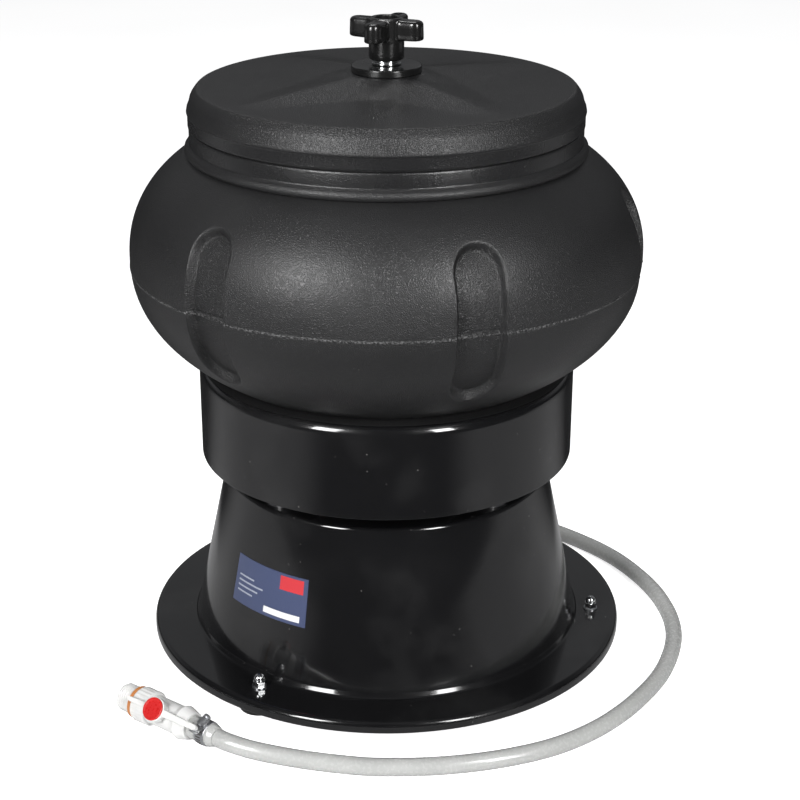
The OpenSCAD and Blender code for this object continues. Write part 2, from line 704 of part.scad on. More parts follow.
module windings() {
    end_turn = 9;
    color([0.65, 0.32, 0.15]) for (z = [stack_low_z - end_turn, stack_top_z])
        ring(motor_r - 10, rotor_r + 2, z, end_turn);
}
module motor_screws() {
    reach = bell_top_z + bracket_t - bell_low_z;
    color([0.7, 0.71, 0.73]) around(4, bolt_circle, 0) {
        translate([0, 0, bell_low_z]) cylinder(r = through_bolt_r, h = reach, $fn = 32);
        translate([0, 0, bell_low_z - 3]) cylinder(r = 3.6, h = 3 + eps, $fn = 6);
        translate([0, 0, bell_low_z + reach - eps]) cylinder(r = 3.6, h = 3, $fn = 6);
    }
}
module motor_bearings() {
    color([0.75, 0.76, 0.78]) for (z = [bell_low_z + 1, bell_top_z - 1 - bearing_h])
        ring(bearing_r, shaft_r + run_gap, z, bearing_h);
}

// Turning part of the motor
weight_h = 14;
lower_weight_z = bell_low_z - 44;
fan_z = bell_low_z - 23;
module motor_shaft() {
    color([0.72, 0.73, 0.75]) translate([0, 0, lower_weight_z - 3])
        cylinder(r = shaft_r, h = shaft_top_z - lower_weight_z + 3);
}
module rotor_core() {
    color([0.4, 0.41, 0.43]) ring(rotor_r, shaft_r, stack_low_z + 1, stack_h - 2);
}
module weight(r, z) {
    translate([0, 0, z]) difference() {
        union() {
            intersection() {
                cylinder(r = r, h = weight_h);
                translate([-r, 0, 0]) cube([2 * r, r, weight_h]);
            }
            cylinder(r = shaft_r + 6, h = weight_h);
        }
        translate([0, 0, -eps]) cylinder(r = shaft_r, h = weight_h + 2 * eps);
        translate([0, 0, weight_h / 2]) rotate([90, 0, 0]) cylinder(r = 2.5, h = shaft_r + 8, $fn = 32);
    }
}
upper_weight_z = bell_top_z + 9;
module upper_weight() {
    color([0.3, 0.3, 0.31]) rotate([0, 0, 90]) weight(upper_weight_r, upper_weight_z);
}
module lower_weight() {
    color([0.3, 0.3, 0.31]) weight(lower_weight_r, lower_weight_z);
}
module weight_screws() {
    color([0.2, 0.2, 0.2]) for (w = [[0, lower_weight_z], [90, upper_weight_z]])
        rotate([0, 0, w[0]]) translate([0, -shaft_r, w[1] + weight_h / 2])
            rotate([90, 0, 0]) cylinder(r = 2.5, h = 5.5, $fn = 32);
}
fan_r = 44;
fan_h = 14;
module cooling_fan() {
    color([0.1, 0.1, 0.1]) {
        ring(shaft_r + 7, shaft_r, fan_z, fan_h);
        ring(fan_r, shaft_r + 6, fan_z + fan_h - 2, 2);
        around(8, shaft_r + 6, 0) translate([0, -0.8, fan_z]) cube([fan_r - shaft_r - 7, 1.6, fan_h - 1]);
    }
}

/* ---- bowl ---- */
floor_t = 8;                                 // the bowl's floor
column_foot_r = 44;                          // hollow cone in the middle of the bowl
column_top_r = 17;
column_top_z = bowl_mid_z + 40;
neck_in = neck_r - 7;                        // inside of the neck
inner_neck_z = curve_z(neck_in, bowl_r - bowl_wall, bowl_up - bowl_wall);

module bowl_outline() {
    polygon(concat(
        [[0, drum_top_z]],
        curve_points(0, drum_top_z, neck_z),
        [[bead_r + 0.4, neck_z + bead_h * 0.35], [bead_r, neck_z + bead_h * 0.7],
         [neck_r, band_z], [neck_r, rim_z], [0, rim_z]]));
}
module bowl_inside() {
    polygon(concat(
        [[0, drum_top_z + floor_t]],
        curve_points(bowl_wall, drum_top_z + floor_t, inner_neck_z),
        [[neck_in, rim_z + 1], [0, rim_z + 1]]));
}
// Upright oblong that cuts the bowl from outside, down to slot_depth below its surface
module slot_cutter() {
    half = slot_w / 2;
    low = bowl_mid_z - slot_low + half;
    high = bowl_mid_z + slot_high - half;
    for (z = [low, high]) translate([bowl_r * 0.6, 0, z])
        rotate([0, 90, 0]) cylinder(r = half, h = bowl_r * 0.5, $fn = 64);
    translate([bowl_r * 0.6, -half, low]) cube([bowl_r * 0.5, slot_w, high - low]);
}
module column_solid() {
    translate([0, 0, drum_top_z])
        cylinder(r1 = column_foot_r, r2 = column_top_r, h = column_top_z - drum_top_z);
}
module bowl() {
    color([0.05, 0.05, 0.055]) difference() {
        rotate_extrude() bowl_outline();
        rotate_extrude() bowl_inside();
        difference() {
            around(slot_count, 0, slot_angle) slot_cutter();
            rotate_extrude() polygon(concat([[0, drum_top_z]],
                curve_points(slot_depth, drum_top_z, neck_z - 6), [[0, neck_z - 6]]));
        }
        column_solid();
        at_drain() translate([0, 0, drum_top_z - 1])
            cylinder(r = drain_shank_r + screw_gap, h = floor_t + 2, $fn = 48);
    }
}
// The hollow cone in the middle of the bowl that the stud passes through
module bowl_column() {
    color([0.05, 0.05, 0.055]) difference() {
        column_solid();
        translate([0, 0, drum_top_z - eps]) cylinder(r1 = column_foot_r - 7, r2 = column_top_r - 6,
                                                     h = column_top_z - 8 - drum_top_z);
        translate([0, 0, drum_top_z]) cylinder(r = stud_r + screw_gap, h = column_top_z, $fn = 48);
    }
}

stud_top_z = knob_z + knob_h - 6;
module center_stud() {
    low = plate_z - stud_tail;
    color([0.75, 0.76, 0.78]) translate([0, 0, low]) cylinder(r = stud_r, h = stud_top_z - low, $fn = 48);
}
stud_nut_h = 8;
stud_washer_t = 2;
module stud_nuts() {
    color([0.75, 0.76, 0.78]) for (z = [plate_z - stud_washer_t - stud_nut_h, column_top_z + stud_washer_t])
        translate([0, 0, z]) difference() {
            cylinder(r = stud_r * 1.85, h = stud_nut_h, $fn = 6);
            translate([0, 0, -eps]) cylinder(r = stud_r, h = stud_nut_h + 2 * eps, $fn = 48);
        }
}
module stud_washers() {
    color([0.75, 0.76, 0.78]) for (z = [plate_z - stud_washer_t, column_top_z])
        ring(stud_r * 2.2, stud_r + screw_gap, z, stud_washer_t);
}

bowl_floor_z = drum_top_z + floor_t;
shank_low_z = plate_z - 12;                  // end of the drain's shank
module drain_fitting() {
    color([0.9, 0.9, 0.88]) at_drain() difference() {
        union() {
            translate([0, 0, bowl_floor_z]) cylinder(r = drain_shank_r + 5, h = 3, $fn = 64);
            translate([0, 0, shank_low_z])
                cylinder(r = drain_shank_r, h = bowl_floor_z - shank_low_z + eps, $fn = 64);
            translate([0, 0, drain_low_z])
                cylinder(r = hose_r, h = shank_low_z - drain_low_z + eps, $fn = 64);
        }
        translate([0, 0, drain_low_z - 1]) cylinder(r = flow_r, h = 60, $fn = 48);
    }
}
module drain_nut() {
    color([0.9, 0.9, 0.88]) at_drain() translate([0, 0, plate_z - 7]) difference() {
        cylinder(r = drain_shank_r + 4, h = 7, $fn = 6);
        translate([0, 0, -eps]) cylinder(r = drain_shank_r, h = 8, $fn = 64);
    }
}
module drain_strainer() {
    color([0.72, 0.73, 0.75]) at_drain() translate([0, 0, bowl_floor_z + 3]) difference() {
        cylinder(r = drain_shank_r + 3, h = 1.2, $fn = 64);
        for (ring_r = [3.2, 6.6]) around(8, ring_r, ring_r * 6)
            translate([0, 0, -1]) cylinder(r = 1, h = 4, $fn = 24);
    }
}

/* ---- lid and clamp ---- */
spigot_h = 10;                               // depth of the lid's spigot in the neck
spigot_r = neck_in - 1;
wall_r = lid_r - 1.4;
crease_r = lid_r - 7;
dome_h = 1.5;                                // rise of the lid's top between the star's arms
star_foot_r = lid_hub_r * 2.16;              // foot of the hub's slope between two arms
module lid_shell() {
    difference() {
        rotate_extrude() polygon([
            [0, lid_z], [spigot_r, lid_z], [lid_r - 0.3, lid_z], [lid_r, lid_z + 1],
            [lid_r, lid_bead_z - 0.6], [lid_r + 0.5, lid_bead_z + 0.6], [lid_r + 0.2, lid_bead_z + 3],
            [wall_r + 0.4, lid_bead_z + 5.5], [wall_r - 0.6, lid_bead_z + 9.5],
            [wall_r - 2.6, lid_bead_z + 13], [wall_r - 5, lid_top_z - 0.7], [crease_r, lid_top_z],
            [crease_r - 6, lid_top_z + 0.2], [star_foot_r, lid_top_z + dome_h * 0.3],
            [lid_hub_r + 1.5, hub_z - 1], [lid_hub_r - 0.6, hub_z], [0, hub_z]]);
        rotate_extrude() polygon([
            [0, lid_z - 1], [spigot_r - lid_t, lid_z - 1], [spigot_r - lid_t, lid_top_z - 6 - lid_t],
            [spigot_r - lid_t - 6, lid_top_z - lid_t], [0, lid_top_z - lid_t]]);
    }
}
// One arm of the star: a ridge that falls and narrows from the hub to the rim
module star_arm() {
    root_w = 38;
    tip_w = 12;
    root_x = lid_hub_r - 1;
    tip_x = crease_r - 8;
    low = lid_top_z - 1;
    points = [[root_x, -root_w, low], [root_x, root_w, low], [tip_x, tip_w, low], [tip_x, -tip_w, low],
              [root_x, 0, hub_z - 0.4], [tip_x - 6, 0, lid_top_z + 1.4]];
    polyhedron(points, [[3, 2, 1, 0], [0, 1, 4], [1, 2, 5], [1, 5, 4], [2, 3, 5], [3, 0, 4], [3, 4, 5]]);
}
module lid() {
    color([0.05, 0.05, 0.055]) difference() {
        union() {
            lid_shell();
            around(star_arms, 0, star_angle) star_arm();
            ring(spigot_r, spigot_r - lid_t, lid_z - spigot_h, spigot_h + 1);
            translate([0, 0, lid_z + 4]) cylinder(r = 14, h = hub_z - lid_z - 6);
        }
        translate([0, 0, lid_z - 5]) cylinder(r = stud_r + 0.5, h = 60, $fn = 48);
    }
}
module lid_seal() {
    color([0.04, 0.04, 0.04]) ring(neck_r - 1.2, spigot_r, rim_z + joint_gap, lid_z - rim_z - joint_gap);
}
module lid_washer() {
    color([0.05, 0.05, 0.05]) ring(washer_r, stud_r + 0.5, hub_z, washer_t);
}
collar_r = 10;
module knob_collar() {
    color([0.8, 0.81, 0.83]) ring(collar_r, stud_r + 0.2, collar_z + joint_gap, collar_t - 2 * joint_gap);
}
insert_r = 8;
insert_h = knob_h - 8;
module clamp_knob() {
    arm_r = knob_r - lobe_r;
    low = knob_top_z - lobe_h - 1;
    color([0.03, 0.03, 0.03]) difference() {
        union() {
            translate([0, 0, knob_z]) cylinder(r = knob_hub_r, h = knob_h - 2);
            translate([0, 0, knob_top_z - 2 - eps]) cylinder(r1 = knob_hub_r, r2 = knob_hub_r - 1.5, h = 2);
            around(4, arm_r, lobe_angle) translate([0, 0, low]) cylinder(r = lobe_r, h = lobe_h);
            for (a = [0, 90]) rotate([0, 0, lobe_angle + a])
                translate([-arm_r, -lobe_r + 1, low]) cube([2 * arm_r, 2 * lobe_r - 2, lobe_h]);
        }
        translate([0, 0, knob_z - eps]) cylinder(r = insert_r, h = insert_h, $fn = 48);
        translate([0, 0, knob_z]) cylinder(r = insert_r - 0.6, h = knob_h + 1, $fn = 48);
    }
}
module knob_insert() {
    color([0.72, 0.73, 0.75]) ring(insert_r, stud_r + 2 * run_gap, knob_z, insert_h - eps);
}

base_housing();
base_deck();
base_flange();
bottom_cover();
rubber_feet();
foot_bolts();
foot_washers();
acorn_nuts();
lower_spring_seats();
springs();
rating_label();
cable_gland();
gland_nut();
switch_bezel();
hose_grommet();
capacitor();
capacitor_clip();
terminal_block();
inner_hose();
drain_hose();
hose_cuff();
hose_clamp();
clamp_screw();
valve_body();
valve_seal();
drum();
upper_spring_seats();
motor_bracket();
bracket_screws();
motor_upper_bell();
motor_lower_bell();
stator();
windings();
motor_screws();
motor_bearings();
bowl();
bowl_column();
center_stud();
stud_nuts();
stud_washers();
drain_fitting();
drain_nut();
drain_strainer();
rotor_core();
motor_shaft();
upper_weight();
lower_weight();
cooling_fan();
weight_screws();
lid();
lid_seal();
lid_washer();
knob_collar();
clamp_knob();
knob_insert();
switch_rocker();
valve_lever();
lever_cap();
valve_ball();
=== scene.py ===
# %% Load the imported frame
import json
import math
import bpy
import bmesh
import numpy as np
from mathutils import Matrix


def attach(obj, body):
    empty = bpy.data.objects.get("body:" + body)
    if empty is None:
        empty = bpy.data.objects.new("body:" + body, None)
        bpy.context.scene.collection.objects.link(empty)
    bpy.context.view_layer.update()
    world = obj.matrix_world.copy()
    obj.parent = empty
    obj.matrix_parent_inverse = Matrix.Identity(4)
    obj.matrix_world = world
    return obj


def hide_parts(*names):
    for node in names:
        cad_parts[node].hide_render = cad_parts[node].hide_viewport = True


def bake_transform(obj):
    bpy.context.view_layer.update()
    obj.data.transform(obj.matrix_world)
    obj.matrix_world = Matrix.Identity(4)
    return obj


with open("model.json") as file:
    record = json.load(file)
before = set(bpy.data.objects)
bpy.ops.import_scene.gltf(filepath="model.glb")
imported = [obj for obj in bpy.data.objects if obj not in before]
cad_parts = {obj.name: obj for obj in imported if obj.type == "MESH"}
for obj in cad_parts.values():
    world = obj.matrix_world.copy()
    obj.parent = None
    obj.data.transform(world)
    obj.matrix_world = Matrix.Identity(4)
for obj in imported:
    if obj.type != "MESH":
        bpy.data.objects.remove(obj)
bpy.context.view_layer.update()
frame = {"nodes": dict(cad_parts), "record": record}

NODES = frame["nodes"]

# %% [markdown]
# ## How the pieces are made
# Nearly everything on a vibratory tumbler is round: the moulded bowl and lid, the spun cone and
# drum, the nuts, the hose fittings. A lathe does all of that: a profile of (radius, height) points
# turned about an axis. Subdivision modelling would also work, but a lathe written with numpy keeps
# every radius at its real value, in millimetres, and lets a formula press slots, ridges or threads
# into the turned surface afterwards. Each helper returns plain arrays of points and faces, so a
# piece can be joined from several of them before it becomes one mesh.

# %% Mesh helpers
MM = 0.001


def turn_grid(rows, cols, wrap_rows=False, wrap_cols=True):
    """Quads of a grid of rows by cols points, as an array of four indices a quad."""
    r = np.arange(rows if wrap_rows else rows - 1)[:, None]
    c = np.arange(cols if wrap_cols else cols - 1)[None, :]
    r2, c2 = (r + 1) % rows, (c + 1) % cols
    return np.stack([r * cols + c, r * cols + c2, r2 * cols + c2, r2 * cols + c], -1).reshape(-1, 4)


def ease(x):
    """0 below 0, 1 above 1, and a smooth step between."""
    x = np.clip(x, 0, 1)
    return x * x * (3 - 2 * x)


def soft_max(a, b, k):
    """The larger of two heights, blended over k where they are close (a fillet)."""
    h = np.clip(0.5 + 0.5 * (a - b) / k, 0, 1)
    return b + (a - b) * h + k * h * (1 - h)


def rounded(corners, steps=4, support=0.5):
    """A closed outline from (x, y, radius) corners: an arc at each, and a point just before and
    after it, so that smooth shading stays on the arc and the long faces look flat."""
    out = []
    n = len(corners)
    for i, (x, y, radius) in enumerate(corners):
        p = np.array((x, y), float)
        a = np.array(corners[i - 1][:2], float) - p
        b = np.array(corners[(i + 1) % n][:2], float) - p
        la, lb = np.linalg.norm(a), np.linalg.norm(b)
        a, b = a / la, b / lb
        half = math.acos(float(np.clip(a @ b, -1, 1))) / 2
        if radius <= 0 or half > 1.55:
            out.append(p)
            continue
        t = min(radius / math.tan(half), la * 0.45, lb * 0.45)
        r = t * math.tan(half)
        c = p + (a + b) / np.linalg.norm(a + b) * r / math.sin(half)
        s, e = p + a * t - c, p + b * t - c
        turn = math.copysign(math.pi - 2 * half, s[0] * e[1] - s[1] * e[0])
        start = math.atan2(s[1], s[0])
        if t + support < la * 0.48:
            out.append(p + a * (t + support))
        for k in range(steps + 1):
            th = start + turn * k / steps
            out.append(c + r * np.array((math.cos(th), math.sin(th))))
        if t + support < lb * 0.48:
            out.append(p + b * (t + support))
    return np.array(out)


def finer(profile, step):
    """The same closed outline with no stretch longer than step."""
    p = np.asarray(profile, float)
    out = []
    for a, b in zip(p, np.roll(p, -1, axis=0)):
        n = max(1, int(np.linalg.norm(b - a) / step))
        out.append(a + (b - a) * (np.arange(n) / n)[:, None])
    return np.concatenate(out)


def lathe(profile, cols=96, angles=None, closed=True):
    """Turns (radius, height) points about Z. A closed outline runs anticlockwise, so that the
    faces look outwards; an open one is closed with a flat face at each end."""
    p = np.asarray(profile, float)
    a = np.arange(cols) * (2 * math.pi / cols) if angles is None else np.asarray(angles)
    r, z = p[:, 0][:, None], p[:, 1][:, None]
    v = np.stack([r * np.cos(a), r * np.sin(a), z + 0 * a], -1)
    f = turn_grid(len(p), len(a), wrap_rows=closed).tolist()
    if not closed:
        n = len(a)
        f += [list(range(n))[::-1], list(range(len(p) * n - n, len(p) * n))]
    return v.reshape(-1, 3), f


def hexed(solid, apothem, turn=0.0):
    """Trims turned points to a hexagon: no point further out than the hexagon's side."""
    v, f = solid
    v = v.copy()
    a = np.degrees(np.arctan2(v[:, 1], v[:, 0])) - turn
    side = apothem / np.cos(np.radians((a + 30) % 60 - 30))
    r = np.hypot(v[:, 0], v[:, 1])
    v[:, :2] *= (np.minimum(r, side) / np.maximum(r, 1e-9))[:, None]
    return v, f


def sweep(path, radius, sides=14, closed_ends=True):
    """A tube along a dense path. Each ring's frame is the last one carried on without twist."""
    p = np.asarray(path, float)
    radius = np.broadcast_to(np.asarray(radius, float), len(p))
    t = np.gradient(p, axis=0)
    t /= np.linalg.norm(t, axis=1)[:, None]
    n = np.cross(t[0], (0, 0, 1) if abs(t[0][2]) < 0.9 else (1, 0, 0))
    rings = []
    a = np.arange(sides) * 2 * math.pi / sides
    for q, d, r in zip(p, t, radius):
        n = n - d * (n @ d)
        n /= np.linalg.norm(n)
        rings.append(q + r * (np.cos(a)[:, None] * n + np.sin(a)[:, None] * np.cross(d, n)))
    f = turn_grid(len(p), sides).tolist()
    if closed_ends:
        f += [list(range(sides))[::-1], list(range(len(p) * sides - sides, len(p) * sides))]
    return np.concatenate(rings), f


def smooth_path(points, per=10):
    """A Catmull-Rom curve through the points: each stretch leaves along the line between its
    neighbours, so the curve has no kink and still passes every point."""
    p = np.asarray(points, float)
    q = np.concatenate([[2 * p[0] - p[1]], p, [2 * p[-1] - p[-2]]])
    u = (np.arange(per) / per)[None, :, None]
    a, b, c, d = (q[i:len(q) - 3 + i, None, :] for i in range(4))
    s = 0.5 * (2 * b + (c - a) * u + (2 * a - 5 * b + 4 * c - d) * u**2 + (3 * b - a - 3 * c + d) * u**3)
    return np.concatenate([s.reshape(-1, 3), p[-1:]])


def block(size, centre=(0, 0, 0), bevel=0.4, steps=2):
    """A box of the given size with rounded edges: a cube scaled, then bevelled on every edge."""
    bm = bmesh.new()
    bmesh.ops.create_cube(bm, size=1)
    bmesh.ops.scale(bm, vec=size, verts=bm.verts[:])
    bmesh.ops.bevel(bm, geom=bm.edges[:], offset=bevel, segments=steps, profile=0.5, affect="EDGES")
    v = np.array([v.co[:] for v in bm.verts]) + centre
    f = [[x.index for x in q.verts] for q in bm.faces]
    bm.free()
    return v, f


def place(solid, origin=(0, 0, 0), x=(1, 0, 0), y=(0, 1, 0), z=(0, 0, 1)):
    """Moves a solid so that its own axes lie along x, y and z and its zero at origin."""
    v, f = solid
    return v @ np.array([x, y, z], float) + np.asarray(origin, float), f


def spun(solid, degrees):
    """Turns a solid about Z: its X axis goes to (cos, sin) of the angle."""
    c, s = math.cos(math.radians(degrees)), math.sin(math.radians(degrees))
    return place(solid, x=(c, s, 0), y=(-s, c, 0))


def merge(*parts):
    """Joins solids into one: each next one's faces count on from the points before it."""
    verts, faces, base = [], [], 0
    for v, f in parts:
        verts.append(v)
        faces += [[i + base for i in q] for q in f]
        base += len(v)
    return np.concatenate(verts), faces


def make(name, solid, body, slot, replaces=(), look=None, sharp=38, marks=None):
    """One finished piece: mesh in metres, normals outward, smooth but for sharp corners. It wears
    its slot's finish unless look names another; marks are values at its points for a material."""
    v, f = solid
    me = bpy.data.meshes.new(name)
    me.from_pydata((np.asarray(v) * MM).tolist(), [], f)
    for key, values in (marks or {}).items():
        mark = me.attributes.new(key, "FLOAT", "POINT")
        mark.data.foreach_set("value", np.asarray(values, np.float32))
    bm = bmesh.new()
    bm.from_mesh(me)
    bmesh.ops.recalc_face_normals(bm, faces=bm.faces[:])
    bm.to_mesh(me)
    bm.free()
    me.shade_smooth()
    me.set_sharp_from_angle(angle=math.radians(sharp))
    ob = bpy.data.objects.new(name, me)
    bpy.context.scene.collection.objects.link(ob)
    me.materials.append(MATS[look or slot])
    if body:
        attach(ob, body)
    if replaces:
        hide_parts(*replaces)
    print(f"{name}: {len(v)} points, {len(f)} faces")
    return ob


def drill(ob, cutters, sharp=38):
    """Cuts solids out of a piece with exact Booleans and keeps the result as plain mesh."""
    tools = []
    for i, (v, f) in enumerate(cutters):
        me = bpy.data.meshes.new(f"cutter_{i}")
        me.from_pydata((np.asarray(v) * MM).tolist(), [], f)
        tool = bpy.data.objects.new(f"cutter_{i}", me)
        bpy.context.scene.collection.objects.link(tool)
        mod = ob.modifiers.new(f"cut_{i}", "BOOLEAN")
        mod.operation, mod.solver, mod.object = "DIFFERENCE", "EXACT", tool
        tools.append(tool)
    done = bpy.data.meshes.new_from_object(ob.evaluated_get(bpy.context.evaluated_depsgraph_get()))
    ob.modifiers.clear()
    done.name = ob.name
    ob.data = done
    for tool in tools:
        bpy.data.meshes.remove(tool.data)
    done.shade_smooth()
    done.set_sharp_from_angle(angle=math.radians(sharp))
    print(f"{ob.name}: cut {len(tools)} openings, {len(done.polygons)} faces")


def around(solid, count, radius, first=0.0):
    """Even copies on a circle, the first at angle first and the others 360 / count further on."""
    return merge(*[spun(place(solid, (radius, 0, 0)), first + 360 * k / count)
                   for k in range(count)])


def plug(radius, low, high, origin=(0, 0, 0), cols=48, **axes):
    """A plain cylinder from low to high along its own Z, used to cut a round hole."""
    return place(lathe([(radius, low), (radius, high)], cols, closed=False), origin, **axes)


print("mesh helpers ready, lengths in millimetres")


# %% [markdown]
# ## Camera and light
# The camera stands 1.2 m in front of the machine and looks down 22 degrees, with a long lens, so
# the circles of the bowl and base keep their shape. A long lens far away and a shift sideways do
# what a product studio does with a view camera.

# %% Camera
cam = bpy.data.cameras.new("front_camera")
camera = bpy.data.objects.new("front_camera", cam)
bpy.context.scene.collection.objects.link(camera)
LOOK_DOWN = 22.16
camera.location = (0.0, -1.2014, 0.6666)
camera.rotation_euler = (math.radians(90 - LOOK_DOWN), 0.0, 0.0)
cam.sensor_width = 36.0
cam.lens = 80.9811
cam.shift_x = 0.016875
cam.clip_end = 60
bpy.context.scene.camera = camera
bpy.context.scene.view_settings.view_transform = "Standard"
print("lens", round(cam.lens, 2), "mm")

# %% [markdown]
# ## Short words for shader nodes
# Every finish below is a small tree of nodes. Building one by hand takes five lines a node, so
# these helpers add a node and link it in one call. The alternative, linking by hand in the node
# editor, can't be read or repeated.

# %% Node helpers


def node(tree, kind, props=None, **inputs):
    """Adds a node; inputs are linked when given a socket and set when given a value."""
    n = tree.nodes.new("ShaderNode" + kind)
    for key, value in (props or {}).items():
        setattr(n, key, value)
    for key, value in inputs.items():
        by_number = key[0] == "i" and key[1:].isdigit()
        s = n.inputs[int(key[1:]) if by_number else key.replace("_", " ")]
        if isinstance(value, bpy.types.NodeSocket):
            tree.links.new(value, s)
        else:
            s.default_value = value
    return n


def calc(tree, operation, a, b=0.0):
    """One Math node: a, the operation, b. MULTIPLY_ADD also adds 0.5, the node's own third value."""
    return node(tree, "Math", {"operation": operation}, i0=a, i1=b).outputs[0]


def span(tree, value, low, high, to_low=0.0, to_high=1.0):
    """Maps value from low..high to to_low..to_high, clamped and eased."""
    n = node(tree, "MapRange", {"interpolation_type": "SMOOTHSTEP"}, Value=value)
    for i, x in enumerate((low, high, to_low, to_high)):
        n.inputs[i + 1].default_value = x
    return n.outputs[0]


def blend_colour(tree, mask, a, b):
    """Colour a where mask is 0, colour b where it is 1; each is a socket or a triple."""
    n = node(tree, "Mix", {"data_type": "RGBA"}, i0=mask)
    for i, x in ((6, a), (7, b)):
        if isinstance(x, bpy.types.NodeSocket):
            tree.links.new(x, n.inputs[i])
        else:
            n.inputs[i].default_value = (*x, 1.0) if len(x) == 3 else x
    return n.outputs[2]


print("node helpers ready")

# %% [markdown]
# ## World, soft boxes and floor
# The camera sees a white world, while reflections see a dim room with one pale wall behind the
# machine. Glossy black paint then shows a dark middle and pale edges, which makes it read as
# gloss black rather than as grey. Two soft boxes at the sides give the bowl its broad sheen and
# the lid's rim its long highlights, and a third lights the back from above. A white world that
# the paint also reflects would be simpler, but it turns every gloss face grey.

# %% World, lamps and floor
world = bpy.data.worlds.new("studio")
bpy.context.scene.world = world
world.use_nodes = True
wt = world.node_tree
wt.nodes.clear()
way = node(wt, "TexCoord").outputs["Generated"]
sep = node(wt, "SeparateXYZ", Vector=way)
# a dim room with a pale wall behind the machine, above its horizon, and a little light overhead
behind = span(wt, sep.outputs[1], 0.15, 0.6)
wall = calc(wt, "MULTIPLY", span(wt, sep.outputs[2], 0.12, 0.3), span(wt, sep.outputs[2], 0.75, 0.5))
overhead = span(wt, sep.outputs[2], 0.6, 0.98, 0.0, 0.5)
level = calc(wt, "MAXIMUM", calc(wt, "MULTIPLY", behind, wall), overhead)
grey = blend_colour(wt, level, (0.022, 0.022, 0.023), (0.22, 0.223, 0.23))
studio = node(wt, "Background", Color=grey, Strength=1.0)
white = node(wt, "Background", Color=(1, 1, 1, 1), Strength=1.0)
ray = node(wt, "LightPath")
pick = node(wt, "MixShader", i0=ray.outputs["Is Camera Ray"], i1=studio.outputs[0],
            i2=white.outputs[0])
wt.links.new(pick.outputs[0], node(wt, "OutputWorld").inputs[0])


def soft_box(name, spot, target, width, height, watts):
    """A rectangular lamp at spot whose own Z points away from the target, so it shines on it."""
    lamp = bpy.data.lights.new(name, "AREA")
    lamp.shape, lamp.size, lamp.size_y, lamp.energy = "RECTANGLE", width, height, watts
    ob = bpy.data.objects.new(name, lamp)
    bpy.context.scene.collection.objects.link(ob)
    aim = Matrix.Identity(3)
    z = np.array(spot) - np.array(target)
    z = z / np.linalg.norm(z)
    x = np.cross((0, 0, 1), z)
    x /= np.linalg.norm(x)
    aim.col[0], aim.col[1], aim.col[2] = x, np.cross(z, x), z
    ob.matrix_world = Matrix.Translation(spot) @ aim.to_4x4()
    return ob


soft_box("box_left", (-0.95, -1.3, 1.0), (0, 0, 0.28), 0.45, 0.9, 30)
soft_box("box_right", (0.95, -1.45, 1.0), (0, 0, 0.28), 0.36, 0.9, 26)
soft_box("box_top", (-0.12, 0.62, 1.9), (0, 0, 0.4), 0.7, 0.4, 8)

floor_mesh = bpy.data.meshes.new("studio_floor")
FAR = 9
floor_mesh.from_pydata([(-FAR, -FAR, 0), (FAR, -FAR, 0), (FAR, FAR, 0), (-FAR, FAR, 0)], [],
                       [(0, 1, 2, 3)])
floor = bpy.data.objects.new("studio_floor", floor_mesh)
bpy.context.scene.collection.objects.link(floor)
print("studio ready")

# %% [markdown]
# ## Materials
# Every finish is procedural and measured in metres through Object coordinates, so grain keeps its
# real size on every piece. Four effects are shared by several finishes and live in node groups:
# leather grain (cells warped by noise, the texture of a rotation-moulded bowl), orange peel (the
# slow waves of thick gloss paint), dust (rare pale specks, thicker in patches) and drawn lines
# (fine stripes left by turning or drawing metal). A group puts out heights and masks only; each
# material decides what they do to its colour, roughness and bump.

# %% Shared effects


def effect(name, outputs):
    """Starts a node group with Vector and Scale inputs and the named outputs, and gives back the
    group, its scaled coordinates and its output node."""
    g = bpy.data.node_groups.new(name, "ShaderNodeTree")
    g.interface.new_socket("Vector", in_out="INPUT", socket_type="NodeSocketVector")
    g.interface.new_socket("Scale", in_out="INPUT", socket_type="NodeSocketFloat").default_value = 1.0
    for out in outputs:
        g.interface.new_socket(out, in_out="OUTPUT", socket_type="NodeSocketFloat")
    start = g.nodes.new("NodeGroupInput")
    end = g.nodes.new("NodeGroupOutput")
    at = node(g, "VectorMath", {"operation": "SCALE"}, i0=start.outputs[0], Scale=start.outputs[1])
    return g, at.outputs[0], end


leather, at, end = effect("leather_grain", ["Height", "Fleck"])
warp = node(leather, "TexNoise", Vector=at, Scale=420.0, Detail=2.0)
bent = node(leather, "VectorMath", {"operation": "MULTIPLY_ADD"}, i0=warp.outputs["Color"],
            i1=(0.0012, 0.0012, 0.0012), i2=at).outputs[0]
cells = node(leather, "TexVoronoi", {"feature": "DISTANCE_TO_EDGE"}, Vector=bent, Scale=760.0)
creases = span(leather, cells.outputs["Distance"], 0.02, 0.32)
fine = node(leather, "TexNoise", Vector=at, Scale=1900.0, Detail=3.0)
leather.links.new(calc(leather, "MULTIPLY_ADD", creases, 0.7), end.inputs[0])
leather.links.new(span(leather, fine.outputs[0], 0.55, 0.78), end.inputs[1])

peel, at, end = effect("orange_peel", ["Height", "Drift"])
waves = node(peel, "TexNoise", Vector=at, Scale=260.0, Detail=1.0)
slow = node(peel, "TexNoise", Vector=at, Scale=16.0, Detail=2.0)
peel.links.new(waves.outputs[0], end.inputs[0])
peel.links.new(slow.outputs[0], end.inputs[1])

